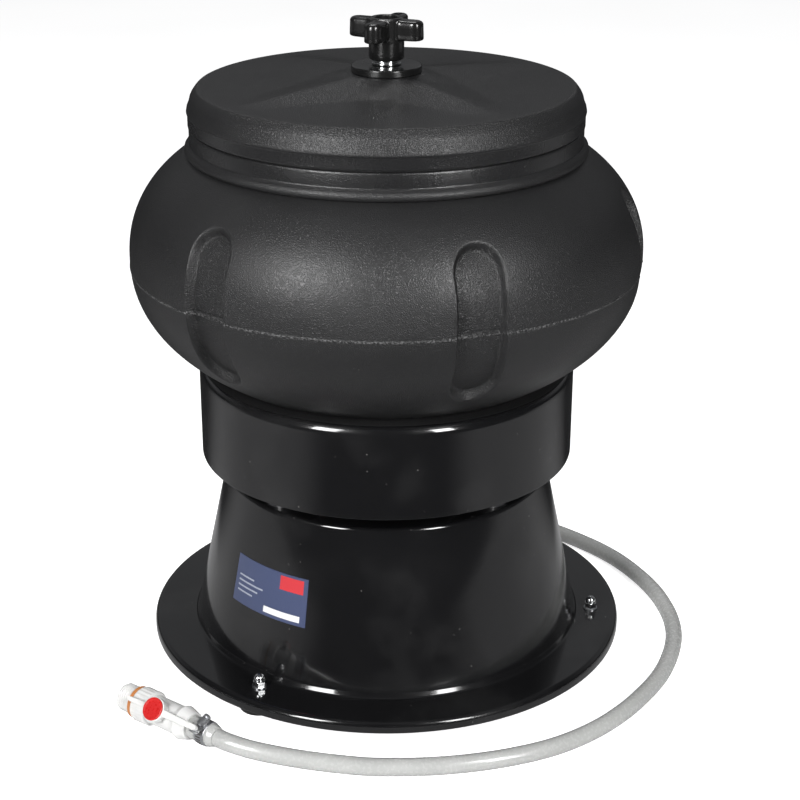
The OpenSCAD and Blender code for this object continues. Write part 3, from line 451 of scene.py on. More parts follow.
dust, at, end = effect("dust", ["Specks", "Patches"])
spots = node(dust, "TexVoronoi", Vector=at, Scale=300.0)
patch = node(dust, "TexNoise", Vector=at, Scale=22.0, Detail=3.0)
thick = span(dust, patch.outputs[0], 0.5, 0.72)
seed = node(dust, "SeparateColor", Color=spots.outputs["Color"])
near = span(dust, spots.outputs["Distance"], 0.12, 0.05)
rare = span(dust, seed.outputs[0], 0.86, 0.93)
specks = calc(dust, "MULTIPLY", near, rare)
specks = calc(dust, "MULTIPLY", specks, span(dust, patch.outputs[0], 0.4, 0.6))
dust.links.new(specks, end.inputs[0])
dust.links.new(thick, end.inputs[1])

drawn, at, end = effect("drawn_lines", ["Lines", "Stain"])
squeezed = node(drawn, "Mapping", Vector=at, Scale=(60.0, 60.0, 2600.0)).outputs[0]
lines = node(drawn, "TexNoise", Vector=squeezed, Scale=1.0, Detail=3.0)
stain = node(drawn, "TexNoise", Vector=at, Scale=55.0, Detail=3.0)
drawn.links.new(lines.outputs[0], end.inputs[0])
drawn.links.new(stain.outputs[0], end.inputs[1])


def use(tree, group_tree, vector, scale=1.0):
    """Puts one of the shared effects into a material's tree and gives back its outputs."""
    n = tree.nodes.new("ShaderNodeGroup")
    n.node_tree = group_tree
    tree.links.new(vector, n.inputs[0])
    n.inputs[1].default_value = scale
    return n.outputs


def finish(name, **fixed):
    """A new material, its tree, its shader and its Object coordinates; fixed values are set on
    the shader's own sockets."""
    mat = bpy.data.materials.new(name)
    mat.use_nodes = True
    tree = mat.node_tree
    shader = tree.nodes["Principled BSDF"]
    for key, value in fixed.items():
        s = shader.inputs[key.replace("_", " ")]
        s.default_value = (*value, 1.0) if key == "Base_Color" else value
    return mat, tree, shader, node(tree, "TexCoord").outputs["Object"]


def bump(tree, shader, height, strength, distance):
    """Tilts the shader's normal by the slope of height, which is distance metres tall."""
    n = node(tree, "Bump", Height=height, Strength=strength, Distance=distance)
    tree.links.new(n.outputs[0], shader.inputs["Normal"])


print("effects:", [g.name for g in (leather, peel, dust, drawn)])

# %% [markdown]
# ## Black finishes
# Four kinds of black sit side by side here, and they are told apart by gloss and grain alone, so
# each has its own roughness and relief: grained polyethylene on bowl and lid, thick gloss paint on
# the sheet metal, satin rubber and nylon, and the polished phenolic of the knob. One black
# with a different roughness would be quicker and would look like one plastic toy.

# %% Black finishes


def black_moulded():
    """Satin polyethylene: leather grain all over, deeper where the mark 'coarse' says, and a
    smooth glossier skin where 'gloss' says (turned bands)."""
    mat, t, s, at = finish("black_polyethylene", IOR=1.5)
    coarse = node(t, "Attribute", {"attribute_name": "coarse"}).outputs["Fac"]
    gloss = node(t, "Attribute", {"attribute_name": "gloss"}).outputs["Fac"]
    grain = use(t, leather, at)
    peeled = use(t, peel, at)
    dusty = use(t, dust, at)
    seam = node(t, "Attribute", {"attribute_name": "seam"}).outputs["Fac"]
    crumbs = span(t, node(t, "TexNoise", Vector=at, Scale=700.0, Detail=2.0).outputs[0], 0.45, 0.6)
    depth = calc(t, "MULTIPLY", calc(t, "MULTIPLY_ADD", coarse, 0.75), calc(t, "SUBTRACT", 1.0, gloss))
    height = calc(t, "MULTIPLY", grain[0], calc(t, "ADD", depth, 0.12))
    height = calc(t, "ADD", height, calc(t, "MULTIPLY", calc(t, "MULTIPLY", seam, crumbs), 2.0))
    skin = blend_colour(t, dusty[0], (0.0125, 0.0125, 0.013), (0.16, 0.155, 0.15))
    skin = blend_colour(t, calc(t, "MULTIPLY", peeled[1], 0.5), skin, (0.018, 0.018, 0.0185))
    skin = blend_colour(t, calc(t, "MULTIPLY", seam, crumbs), skin, (0.11, 0.11, 0.11))
    t.links.new(skin, s.inputs["Base Color"])
    rough = calc(t, "ADD", calc(t, "MULTIPLY", grain[1], 0.10), span(t, peeled[1], 0.3, 0.7, 0.37, 0.44))
    rough = calc(t, "SUBTRACT", rough, calc(t, "MULTIPLY", gloss, 0.24))
    rough = calc(t, "ADD", rough, calc(t, "MULTIPLY", coarse, 0.03))
    t.links.new(rough, s.inputs["Roughness"])
    bump(t, s, height, 1.0, 0.0002)
    return mat


def gloss_paint(name, base, rough_low, rough_high, wave):
    """Thick black paint under a thin clear coat: orange peel, rare dust and cloudy gloss."""
    mat, t, s, at = finish(name, IOR=1.5, Coat_Weight=0.35, Coat_Roughness=0.05)
    peeled = use(t, peel, at)
    dusty = use(t, dust, at, 0.8)
    lines = use(t, drawn, at, 0.6)
    colour = blend_colour(t, dusty[0], base, (0.25, 0.24, 0.23))
    veil = calc(t, "MULTIPLY", dusty[1], 0.12)
    t.links.new(blend_colour(t, veil, colour, (0.06, 0.06, 0.06)), s.inputs["Base Color"])
    cloudy = calc(t, "ADD", calc(t, "MULTIPLY", peeled[1], 0.7), calc(t, "MULTIPLY", lines[1], 0.3))
    t.links.new(span(t, cloudy, 0.35, 0.65, rough_low, rough_high), s.inputs["Roughness"])
    bump(t, s, peeled[0], wave, 0.0004)
    return mat


MATS = {}
MATS["black_polyethylene"] = black_moulded()
MATS["gloss_black_paint"] = gloss_paint("gloss_black_paint", (0.006, 0.006, 0.0065), 0.10, 0.2, 0.05)
MATS["seat_paint"] = gloss_paint("seat_paint", (0.05, 0.05, 0.053), 0.3, 0.42, 0.1)
MATS["cover_paint"] = gloss_paint("cover_paint", (0.02, 0.02, 0.022), 0.32, 0.45, 0.12)


def soft_black(name, base, rough, grain_strength, dusty_colour=(0.14, 0.135, 0.13)):
    """Rubber and nylon: fine grain, dull dust in patches."""
    mat, t, s, at = finish(name, IOR=1.47)
    grain = use(t, leather, at, 1.8)
    dusty = use(t, dust, at, 1.4)
    colour = blend_colour(t, dusty[0], base, dusty_colour)
    lift = tuple(c * 2.2 for c in base)
    veil = calc(t, "MULTIPLY", dusty[1], 0.5)
    t.links.new(blend_colour(t, veil, colour, lift), s.inputs["Base Color"])
    t.links.new(span(t, grain[1], 0.0, 1.0, rough, rough + 0.12), s.inputs["Roughness"])
    bump(t, s, grain[0], grain_strength, 0.0001)
    return mat


MATS["black_rubber"] = soft_black("black_rubber", (0.012, 0.012, 0.012), 0.5, 0.35)
MATS["black_nylon"] = soft_black("black_nylon", (0.018, 0.018, 0.018), 0.38, 0.25)
MATS["phenolic_black"] = gloss_paint("phenolic_black", (0.008, 0.008, 0.008), 0.2, 0.3, 0.1)

print("black finishes:", list(MATS))

# %% [markdown]
# ## Metals
# Plated steel, spring wire, cast aluminium, laminations and iron share one recipe: drawn lines and
# stains from the shared effect, with more grit for cast surfaces. Enamelled copper wire is its
# own, because its strands show as stripes.

# %% Metals


def metal(name, base, rough, line=0.25, stain=0.3, metallic=1.0, grit=0.0):
    """Bare or plated metal: drawn lines along the surface and cloudy stains."""
    mat, t, s, at = finish(name, Metallic=metallic)
    lines = use(t, drawn, at)
    grain = use(t, leather, at, 0.7 if grit else 2.5)
    dark = tuple(c * (1 - stain) for c in base)
    t.links.new(blend_colour(t, span(t, lines[1], 0.35, 0.7), base, dark), s.inputs["Base Color"])
    worn = calc(t, "ADD", calc(t, "MULTIPLY", lines[0], 0.6), calc(t, "MULTIPLY", lines[1], 0.4))
    t.links.new(span(t, worn, 0.3, 0.7, rough, rough + 0.16), s.inputs["Roughness"])
    height = calc(t, "ADD", calc(t, "MULTIPLY", lines[0], line), calc(t, "MULTIPLY", grain[0], grit))
    bump(t, s, height, 0.5, 0.00008)
    return mat


MATS["zinc_steel"] = metal("zinc_steel", (0.62, 0.63, 0.65), 0.26)
MATS["bright_nut"] = metal("bright_nut", (0.86, 0.87, 0.88), 0.09, 0.08, 0.12)
MATS["spring_steel"] = metal("spring_steel", (0.45, 0.46, 0.48), 0.28, 0.15)
MATS["cast_aluminium"] = metal("cast_aluminium", (0.6, 0.61, 0.62), 0.42, 0.0, 0.2, grit=0.9)
MATS["lamination_steel"] = metal("lamination_steel", (0.28, 0.29, 0.31), 0.4, 0.9, 0.35)
MATS["weight_iron"] = metal("weight_iron", (0.16, 0.155, 0.15), 0.55, 0.0, 0.4, metallic=0.8,
                            grit=1.0)
MATS["capacitor_can"] = metal("capacitor_can", (0.72, 0.73, 0.74), 0.24, 0.3, 0.1)


def enamelled_wire():
    """Copper windings: strands as fine stripes across the coil, under amber varnish."""
    mat, t, s, at = finish("copper_wire", Metallic=0.85, Coat_Weight=0.6, Coat_Roughness=0.2)
    wire = node(t, "TexWave", {"wave_type": "BANDS", "bands_direction": "DIAGONAL"}, Vector=at,
                Scale=260.0, Distortion=2.5, Detail=1.0).outputs["Fac"]
    t.links.new(blend_colour(t, wire, (0.24, 0.08, 0.03), (0.78, 0.34, 0.13)), s.inputs["Base Color"])
    t.links.new(span(t, wire, 0.0, 1.0, 0.45, 0.28), s.inputs["Roughness"])
    bump(t, s, wire, 0.8, 0.0004)
    return mat


MATS["copper_wire"] = enamelled_wire()

print("copper wire ready")

# %% [markdown]
# ## Light plastics, the plate's print and the floor
# White nylon and the milky hose let a little light in, so both have some subsurface; the hose also
# has a thin gloss coat, as flexible vinyl has. Real transmission would show the inside of a tube
# that is empty and takes far more light paths for the same milky look.

# %% Light plastics and the hose


def moulded(name, base, tint, rough, **fixed):
    """Coloured plastic: slow colour drift, faint scuffs and a very fine skin."""
    mat, t, s, at = finish(name, **fixed)
    peeled = use(t, peel, at, 2.0)
    dusty = use(t, dust, at, 1.5)
    colour = blend_colour(t, span(t, peeled[1], 0.35, 0.65), base, tint)
    grey = tuple(0.6 * c for c in base)
    scuffs = calc(t, "MULTIPLY", dusty[0], 0.12)
    t.links.new(blend_colour(t, scuffs, colour, grey), s.inputs["Base Color"])
    t.links.new(span(t, peeled[0], 0.3, 0.7, rough, rough + 0.1), s.inputs["Roughness"])
    bump(t, s, peeled[0], 0.15, 0.0001)
    return mat


MATS["white_nylon"] = moulded("white_nylon", (0.72, 0.72, 0.71), (0.68, 0.68, 0.67), 0.3,
                              Subsurface_Weight=0.2, Subsurface_Radius=(0.003, 0.003, 0.003))
MATS["red_plastic"] = moulded("red_plastic", (0.62, 0.02, 0.02), (0.5, 0.015, 0.015), 0.26)
MATS["amber_seal"] = moulded("amber_seal", (0.56, 0.22, 0.06), (0.42, 0.15, 0.04), 0.45)
MATS["terminal_plastic"] = moulded("terminal_plastic", (0.76, 0.72, 0.6), (0.68, 0.64, 0.52), 0.4)
MATS["milky_hose"] = moulded("milky_hose", (0.47, 0.474, 0.464), (0.44, 0.444, 0.435), 0.2, IOR=1.45,
                             Subsurface_Weight=0.45, Subsurface_Radius=(0.006, 0.006, 0.006),
                             Coat_Weight=0.3, Coat_Roughness=0.08)


def printed_plate():
    """A generic data plate: slate blue film, a plain red block, a white writing strip and pale
    bars where a plate carries its lines. There is no lettering on it. It reads the piece's own UV."""
    mat, t, s, at = finish("plate_print", Coat_Weight=0.4, Coat_Roughness=0.25)
    uv = node(t, "UVMap", {"uv_map": "plate"}).outputs[0]
    xy = node(t, "SeparateXYZ", Vector=uv)

    def patch(x0, x1, y0, y1):
        """1 inside the rectangle, 0 outside: the product of four comparisons."""
        across, up = xy.outputs[0], xy.outputs[1]
        in_x = calc(t, "MULTIPLY", calc(t, "GREATER_THAN", across, x0), calc(t, "LESS_THAN", across, x1))
        in_y = calc(t, "MULTIPLY", calc(t, "GREATER_THAN", up, y0), calc(t, "LESS_THAN", up, y1))
        return calc(t, "MULTIPLY", in_x, in_y)

    ink = node(t, "TexNoise", Vector=at, Scale=900.0, Detail=2.0).outputs[0]
    colour = blend_colour(t, ink, (0.045, 0.06, 0.13), (0.055, 0.072, 0.15))
    colour = blend_colour(t, patch(0.66, 0.95, 0.66, 0.95), colour, (0.55, 0.03, 0.04))
    colour = blend_colour(t, patch(0.48, 0.93, 0.07, 0.2), colour, (0.78, 0.78, 0.78))
    for k in range(4):
        y = 0.58 - 0.11 * k
        bar = patch(0.06, 0.3 + 0.07 * ((k * 5) % 3), y, y + 0.035)
        colour = blend_colour(t, calc(t, "MULTIPLY", bar, 0.6), colour, (0.5, 0.53, 0.6))
    t.links.new(colour, s.inputs["Base Color"])
    t.links.new(span(t, ink, 0.2, 0.8, 0.28, 0.4), s.inputs["Roughness"])
    bump(t, s, ink, 0.1, 0.00005)
    return mat


MATS["plate_print"] = printed_plate()


def floor_finish():
    """Pale paper. Glossy rays see it as a dim floor that is darkest in front of the machine, which
    stands for the black cards that a product studio lays just outside its view."""
    mat, t, s, at = finish("studio_paper", Specular_IOR_Level=0.2)
    soft = node(t, "TexNoise", Vector=at, Scale=3.0, Detail=2.0).outputs[0]
    t.links.new(blend_colour(t, soft, (0.9, 0.9, 0.9), (0.93, 0.93, 0.93)), s.inputs["Base Color"])
    t.links.new(span(t, soft, 0.2, 0.8, 0.75, 0.85), s.inputs["Roughness"])
    xyz = node(t, "SeparateXYZ", Vector=at)
    forward = calc(t, "MULTIPLY", xyz.outputs[1], -1.0)
    sideways = calc(t, "ABSOLUTE", calc(t, "ARCTAN2", xyz.outputs[0], forward))
    away = node(t, "VectorMath", {"operation": "LENGTH"}, i0=at).outputs["Value"]
    past = calc(t, "SUBTRACT", sideways, span(t, away, 0.7, 1.3, 0.5, 1.4))
    pale = calc(t, "MULTIPLY", span(t, past, 0.0, 0.4), span(t, sideways, 2.3, 1.8))
    pale = calc(t, "MAXIMUM", pale, span(t, away, 0.34, 0.26))
    cards = blend_colour(t, pale, (0.03, 0.03, 0.031), (0.4, 0.4, 0.405))
    dim = node(t, "Emission", Color=cards, Strength=1.0)
    paper = blend_colour(t, soft, (0.8, 0.8, 0.8), (0.83, 0.83, 0.83))
    lit = node(t, "Emission", Color=paper, Strength=1.0)
    seen = node(t, "AddShader", i0=s.outputs[0], i1=lit.outputs[0])
    path = node(t, "LightPath")
    bright = node(t, "MixShader", i0=path.outputs["Is Camera Ray"], i1=s.outputs[0], i2=seen.outputs[0])
    both = node(t, "MixShader", i0=path.outputs["Is Glossy Ray"], i1=bright.outputs[0],
                i2=dim.outputs[0])
    t.links.new(both.outputs[0], t.nodes["Material Output"].inputs[0])
    return mat


floor_mesh.materials.append(floor_finish())
print(len(MATS), "finishes")

# %% [markdown]
# ## The drain hose
# The hose is what the eye follows, so it comes first. A curve object with a bevel would do, but a
# swept mesh tube can be checked against its own path. Its route leaves the grommet at the back,
# sinks to the floor within one hand's length, and then lies on the floor in a wide loose bend to
# the valve at the front left. The bends stay wide, as a soft PVC hose of this size lies.

# %% Drain hose
BACK = 100.0      # degrees round the machine: the grommet and the bowl's drain lie this way
HOSE_R = 6.0
FRONT_EDGE = -210.45      # the hose's centre goes no further forward, so its skin stays in the box
hose_route = [
    (-24.3, 138, 30), (-30, 168, 30), (-28, 189, 28), (-17, 209, 24), (1, 222, 19), (23, 227, 14),
    (45, 222, 9.5), (66, 206, 7), (87, 184, 6.1), (108, 161, 6.1), (129, 142, 6.1), (149, 124, 6.1),
    (168, 104, 6.1), (184, 82, 6.1), (197, 56, 6.1), (206, 31, 6.1), (211, 7, 6.1), (213, -18, 6.1),
    (211, -43, 6.1), (204, -70, 6.1), (193, -97, 6.1), (178, -122, 6.1), (160, -146, 6.1),
    (138, -168, 6.1), (112, -186, 6.1), (84, -198, 6.1), (54, -206, 6.1), (24, -210, 6.1),
    (-7, -210.5, 6.1), (-37, -207, 6.8), (-64, -202, 8), (-88, -196.5, 10), (-104, -190.5, 11.8),
    (-111.6, -185.3, 12.2)]
lie = smooth_path(hose_route, 7)
lie[:, 1] = np.maximum(lie[:, 1], FRONT_EDGE)
hose = make("drain_hose_tube", sweep(lie, HOSE_R, 28), "base", "milky_hose", ["drain_hose"])

# %% [markdown]
# ## The valve on the hose's free end
# Small turned parts along one leaning axis: cuff, clamp, nozzle, barrel, collar, seal and thread.
# Each is a lathe profile along the valve's own X. The thread is a real helix: the turned radius
# sinks by a V once a turn, and the V moves one pitch along as the angle goes round.

# %% Cuff and clamp band
HOME = (-119.5, -179.2, 12.2)
HEADING, LEAN = math.radians(142.4), math.radians(50)
AX = np.array((math.cos(HEADING), math.sin(HEADING), 0.0))
side = np.array((-AX[1], AX[0], 0.0))
AZ = side * math.sin(LEAN) + np.array((0, 0, math.cos(LEAN)))
AY = np.cross(AZ, AX)


def at_valve(solid):
    """From the valve's own axes (X to the thread, Z up the lever's spindle) into place."""
    return place(solid, HOME, AX, AY, AZ)


def along(profile, cols=72):
    """Turns (radius, distance) points about the valve's own X."""
    return place(lathe(profile, cols), x=(0, 1, 0), y=(0, 0, 1), z=(1, 0, 0))


cuff = along(rounded([(5.6, -10, 0.2), (6.3, -10, 0.4), (7.8, -6, 1.5), (7.8, 12, 0.8),
                      (5.6, 12, 0.2)]))
make("hose_end_cuff", at_valve(cuff), "base", "milky_hose", ["hose_cuff"])
band = along(rounded([(7.85, -4.3, 0.1), (8.2, -4.3, 0.25), (8.5, -3.7, 0.2), (8.5, 3.7, 0.2),
                      (8.2, 4.3, 0.25), (7.85, 4.3, 0.1)], 3, 0.2))
WORM_TURN = 35      # degrees from the lever's side to the clamp's worm
SLOT_STEP = 13.85
notches = []
# The band's slots are small dark blocks set into its skin: painted shade that stands for the shadow seen
# through real slot holes
for k in range(26):
    from_worm = (k * SLOT_STEP - WORM_TURN - 90 + 180) % 360 - 180
    if abs(from_worm) > 32:
        one = place(block((0.5, 0.9, 4.2), bevel=0.12, steps=1), (8.45, 0, 0))
        notches.append(spun(one, k * SLOT_STEP))
dark = place(merge(*notches), x=(0, 1, 0), y=(0, 0, 1), z=(1, 0, 0))
make("clamp_band", at_valve(band), "base", "zinc_steel", ["hose_clamp"])
# Painted shade: the slot blocks wear the dark iron finish to stand for the shadow inside the slots
make("clamp_band_slot_shade", at_valve(dark), "base", "zinc_steel", look="weight_iron")

# %% Valve barrel with its thread
THREAD_FROM, THREAD_TO, PITCH, THREAD_DEEP = 64.6, 74.6, 1.8, 0.85
COLLAR_FROM, COLLAR_TO, RIB_DEEP = 47.6, 59.4, 0.35
SPINDLE_X = 36.2

v, f = along(finer(rounded([
    (3.5, 12, 0), (9.4, 12, 0.7), (11.7, 19.6, 0.8), (11.7, 20.4, 0.8), (10.0, 24, 0.6), (10.0, 47, 0.4),
    (11.4, 47, 0.5), (12.2, 48.2, 0.8), (12.2, 58.8, 0.8), (11.4, 60, 0.4), (9.0, 60, 0.3),
    (9.0, 64.2, 0.3),
    (9.7, 65.0, 0.2), (9.7, 74.0, 0.3), (9.0, 75, 0.3), (7.4, 75, 0.3), (7.2, 65, 0.3),
    (3.5, 65, 0)], 4, 0.3), 0.22), 120)
turn = np.arctan2(v[:, 2], v[:, 1]) / (2 * math.pi)
wave = np.abs(((v[:, 0] / PITCH - turn) % 1.0) * 2 - 1)
out = np.hypot(v[:, 1], v[:, 2])
threaded = (out > 9.3) & (v[:, 0] > THREAD_FROM) & (v[:, 0] < THREAD_TO)
fade = ease((v[:, 0] - THREAD_FROM) / 1.2) * ease((THREAD_TO + 0.3 - v[:, 0]) / 0.8)
groove = THREAD_DEEP * ease(wave * 1.15 - 0.1) * fade
v[:, 1:] *= (1 - np.where(threaded, groove / out, 0))[:, None]
# The collar sinks a little between twelve pairs of ribs, and not at its rounded ends
ribbed = (v[:, 0] > COLLAR_FROM) & (v[:, 0] < COLLAR_TO) & (out > 12.0)
ribs = RIB_DEEP * ease(np.abs(np.sin(turn * 2 * math.pi * 12)) * 1.6 - 0.5)
fade = ease((v[:, 0] - COLLAR_FROM) / 0.8) * ease((COLLAR_TO - v[:, 0]) / 0.8)
v[:, 1:] *= (1 - np.where(ribbed, (RIB_DEEP - ribs) * fade / out, 0))[:, None]
boss = lathe(rounded([(3.3, 8, 0.2), (7.0, 8, 0.2), (7.0, 11.5, 0.6), (3.3, 11.5, 0.2)]), 64)
barb = along(rounded([(3.5, -8, 0.3), (5.4, -8, 0.5), (5.4, 12.2, 0), (3.5, 12.2, 0)]))
make("valve_barrel", at_valve(merge((v, f), place(boss, (SPINDLE_X, 0, 0)), barb)), "base",
     "white_nylon", ["valve_body"], sharp=32)
seal = along(rounded([(9.05, 60.05, 0.2), (11.3, 60.05, 0.5), (11.3, 62.95, 0.5), (9.05, 62.95, 0.2)]))
make("valve_flat_seal", at_valve(seal), "base", "amber_seal", ["valve_seal"])

# %% Valve handle and its cap
hub = lathe(rounded([(0.5, 0, 0), (8.4, 0, 0.5), (8.4, 4.0, 0.7), (0.5, 4.0, 0)]), 72)


def arm(x0, x1, w0, w1, low, high):
    """A lever arm that narrows from w0 to w1, with a rounded end."""
    r = w1 / 2
    s = 1 if x1 > x0 else -1
    bend = np.radians(np.linspace(-90, 90, 12))
    rim = [(x1 - s * r + s * r * math.cos(t), s * r * math.sin(t)) for t in bend]
    rim = [(x0, -s * w0 / 2)] + rim + [(x0, s * w0 / 2)]
    levels = ((0.5, low), (0.0, low + 0.5), (0.0, high - 0.6), (0.25, high - 0.2), (0.6, high))
    rings = [[(x, y * (1 - inset / (w0 / 2)), z) for x, y in rim] for inset, z in levels]
    m = len(rim)
    faces = turn_grid(len(rings), m).tolist()
    faces += [list(range(m))[::-1], list(range((len(rings) - 1) * m, len(rings) * m))]
    return np.concatenate(np.array(rings)), faces


handle = merge(hub, arm(-4, -38, 5.4, 3.8, 0.6, 3.8), arm(4, 24, 4.8, 3.4, 0.6, 3.4))
make("valve_handle", at_valve(place(handle, (SPINDLE_X, 0, 12))), "lever_unit", "white_nylon",
     ["valve_lever"])
cap = lathe(rounded([(0.02, 0, 0), (7.8, 0, 0.2), (7.8, 1.4, 0.5), (6.4, 1.4, 0.3),
                     (6.0, 1.1, 0.3), (0.02, 1.1, 0)]), 72)
make("handle_cap", at_valve(place(cap, (SPINDLE_X, 0, 16))), "lever_unit", "red_plastic",
     ["lever_cap"])

# %% [markdown]
# ## The clamp's worm
# A small worm housing with its slim screw across the band, and the band's free tail: one lathe
# and two bevelled blocks, turned together about the hose.

# %% Clamp worm
worm_outline = rounded([(0.02, -4.6, 0), (1.5, -4.6, 0.2), (1.5, 3.0, 0.1), (2.6, 3.0, 0.2),
                        (2.6, 5.2, 0.4), (0.02, 5.2, 0)], 3, 0.1)
slim = place(lathe(worm_outline, 36), (0, 0, 10.4), (0, 0, 1), (1, 0, 0), (0, -1, 0))
house = block((6.4, 6.0, 2.6), (0, 0, 9.9), bevel=0.5)
tail = block((7.2, 6.5, 0.7), (0, 7.4, 9.6), bevel=0.2, steps=1)
co, si = math.cos(math.radians(WORM_TURN)), math.sin(math.radians(WORM_TURN))
lock = place(merge(slim, house, tail), x=(1, 0, 0), y=(0, co, si), z=(0, -si, co))
make("clamp_worm", at_valve(lock), "base", "zinc_steel", ["clamp_screw"])

# %% [markdown]
# ## The bowl
# The bowl is one moulding: a curved outside, a bead and an upright band at the neck, an even wall,
# a flat floor and a hollow cone in the middle that the stud passes through. One closed profile is
# turned with many columns, close together where the edges of the six upright recesses will run.

# %% Bowl outline
MID, R_BOWL = 292.6, 177.5
SEAM_Z = 286.7


def bowl_curve(z, inset=0.0):
    """Outside radius at height z: two flattened ellipses that meet at the widest ring."""
    z = np.asarray(z, float)
    r = R_BOWL - inset
    up = np.clip((z - MID) / (97.5 - inset), 0, 1)
    down = np.clip((MID - z) / (109.9 - inset), 0, 1)
    return np.where(z > MID, r * (1 - up**2.19)**(1 / 2.54), r * (1 - down**2.26)**(1 / 1.73))


# Rows of the outside, close together at the recesses' ends and at the mould's seam
rows = np.unique(np.round(np.concatenate([
    np.arange(213.2, 230, 2.4), np.arange(230, 256, 0.9), np.arange(256, 285, 2.6),
    np.arange(285, 288.6, 0.45), np.arange(289, 322, 2.8), np.arange(322, 346, 0.9),
    np.arange(346, 362.2, 1.4)]), 3))
curve = np.stack([bowl_curve(rows), rows], -1)
curve[:, 0] += 0.4 * np.exp(-((rows - SEAM_Z) / 0.5)**2)
bead_and_neck = [
    (134.6, 362.9), (136.2, 363.3), (137.1, 364.6), (137.2, 366.0), (136.9, 367.6), (135.6, 369.2),
    (134.2, 370.2), (133.8, 370.9), (133.8, 371.6), (133.8, 379.6), (133.6, 380.5), (133.0, 381.0),
    (127.8, 381.0), (127.0, 380.6), (126.8, 379.8), (126.8, 370.0), (126.8, 362.0)]
inner_wall = [(float(bowl_curve(z, 9)), z) for z in np.arange(226, 357, 4.0)[::-1]]
floor_line = [(93.0, 220.6), (91.0, 220.0), (90.0, 220.0), (60.0, 220.0), (48.0, 220.0),
              (42.6, 220.4), (41.0, 222.5)]
cone_side = [(44 - 27 * (z - 212) / 120.6, z) for z in np.linspace(226, 330, 14)]
cone_cap = [(17.4, 331.8), (16.6, 332.6), (6.0, 332.6), (5.3, 332.2), (5.25, 324.6),
            (10.8, 324.6), (11.4, 323.6)]
hollow = [(37 - 26 * (z - 212) / 112.6, z) for z in np.linspace(318, 216, 12)]
under = [(37.4, 212.3), (37.6, 212.0), (44.0, 212.0), (110.0, 212.0), (130.8, 212.0)]
outline = np.array(curve.tolist() + bead_and_neck + inner_wall + floor_line + cone_side
                   + cone_cap + hollow + under)
print("bowl outline:", len(outline), "points")

# %% [markdown]
# ### The six recesses
# The recesses are pressed in by a formula: a point's distance to the recess outline, an upright
# oblong on the turned surface, sinks it by up to 6 mm over a 2.7 mm bevel. A Boolean would leave
# long thin faces that shade badly on a glossy curve; this way the edges stay soft, as moulded.

# %% Bowl with its recesses
RECESSES, RECESS_TURN, RECESS_HALF = 6, -130.5, 17.0
RECESS_DEEP, RECESS_BEVEL = 6.0, 2.7
RECESS_LOW, RECESS_HIGH = 253.1, 325.6      # centres of the oblong's round ends
STEP = 360 / RECESSES
half = np.unique(np.round(np.concatenate([
    np.arange(0, 4.2, 0.6), np.arange(4.2, 7.4, 0.22), np.arange(7.4, 9.2, 0.6),
    np.arange(9.2, 30.1, 1.75)]), 4))
half = half[half < 29.9]
bays = np.concatenate([half, STEP - half[1:][::-1]])
angles = np.radians(np.concatenate([RECESS_TURN + STEP * k + bays for k in range(RECESSES)]))
v, f = lathe(outline, angles=angles)
count = len(rows)
na = len(angles)
shell = np.arange(len(v)) < count * na
ang = np.degrees(np.arctan2(v[:, 1], v[:, 0]))
off = np.radians((ang - RECESS_TURN + STEP / 2) % STEP - STEP / 2)
radius = np.hypot(v[:, 0], v[:, 1])
across = np.abs(radius * np.sin(off))
up_down = np.clip(v[:, 2], RECESS_LOW, RECESS_HIGH) - v[:, 2]
edge = np.hypot(across, up_down) - RECESS_HALF
sunk = np.where(shell, ease(-edge / RECESS_BEVEL), 0)
# The push runs along the outline's own normal: its tangent (dr, dz) turned to (dz, -dr)
out_r, out_z = np.gradient(curve[:, 1]), -np.gradient(curve[:, 0])
length = np.hypot(out_r, out_z)
dir_r, dir_z = np.zeros(len(outline)), np.zeros(len(outline))
dir_r[:count], dir_z[:count] = out_r / length, out_z / length
dir_r, dir_z = np.repeat(dir_r, na), np.repeat(dir_z, na)
push = -RECESS_DEEP * sunk
v[:, :2] *= (1 + push * dir_r / np.maximum(radius, 1e-6))[:, None]
v[:, 2] += push * dir_z
# Marks for the material: coarse grain in recesses and belt, gloss on the neck, crumbs at the seam
belt = 0.7 * np.exp(-((v[:, 2] - 297) / 14)**2)
coarse = np.where(shell, np.maximum(sunk, belt), 0.2)
neck_rows = np.isin(np.arange(len(outline)), np.arange(count + 7, count + 13))
neck_gloss = 0.6 * np.repeat(neck_rows, na)
seam = np.where(shell, np.exp(-((v[:, 2] - SEAM_Z) / 0.8)**2), 0)
bowl = make("bowl_moulding", (v, f), "sprung_unit", "black_polyethylene", ["bowl", "bowl_column"],
            sharp=50, marks={"coarse": coarse, "gloss": neck_gloss, "seam": seam})

# %% Bowl drain hole
DRAIN_OUT, DRAIN_R = 70, 8.25
back = math.radians(BACK)
drain_spot = (DRAIN_OUT * math.cos(back), DRAIN_OUT * math.sin(back), 0)
drill(bowl, [plug(DRAIN_R, 205, 226, drain_spot)], 50)

# %% [markdown]
# ## The lid
# The lid is turned too: a trimmed skirt with a sharp bead over it, a wall that leans in, a crease,
# and a nearly flat top. The four-armed star is a height added to the flat top: each arm is a ridge
# that narrows and falls towards the crease, the hub is a short cone, and the higher of the two
# counts, blended over a small width, so arms and hub run into each other as in a mould.

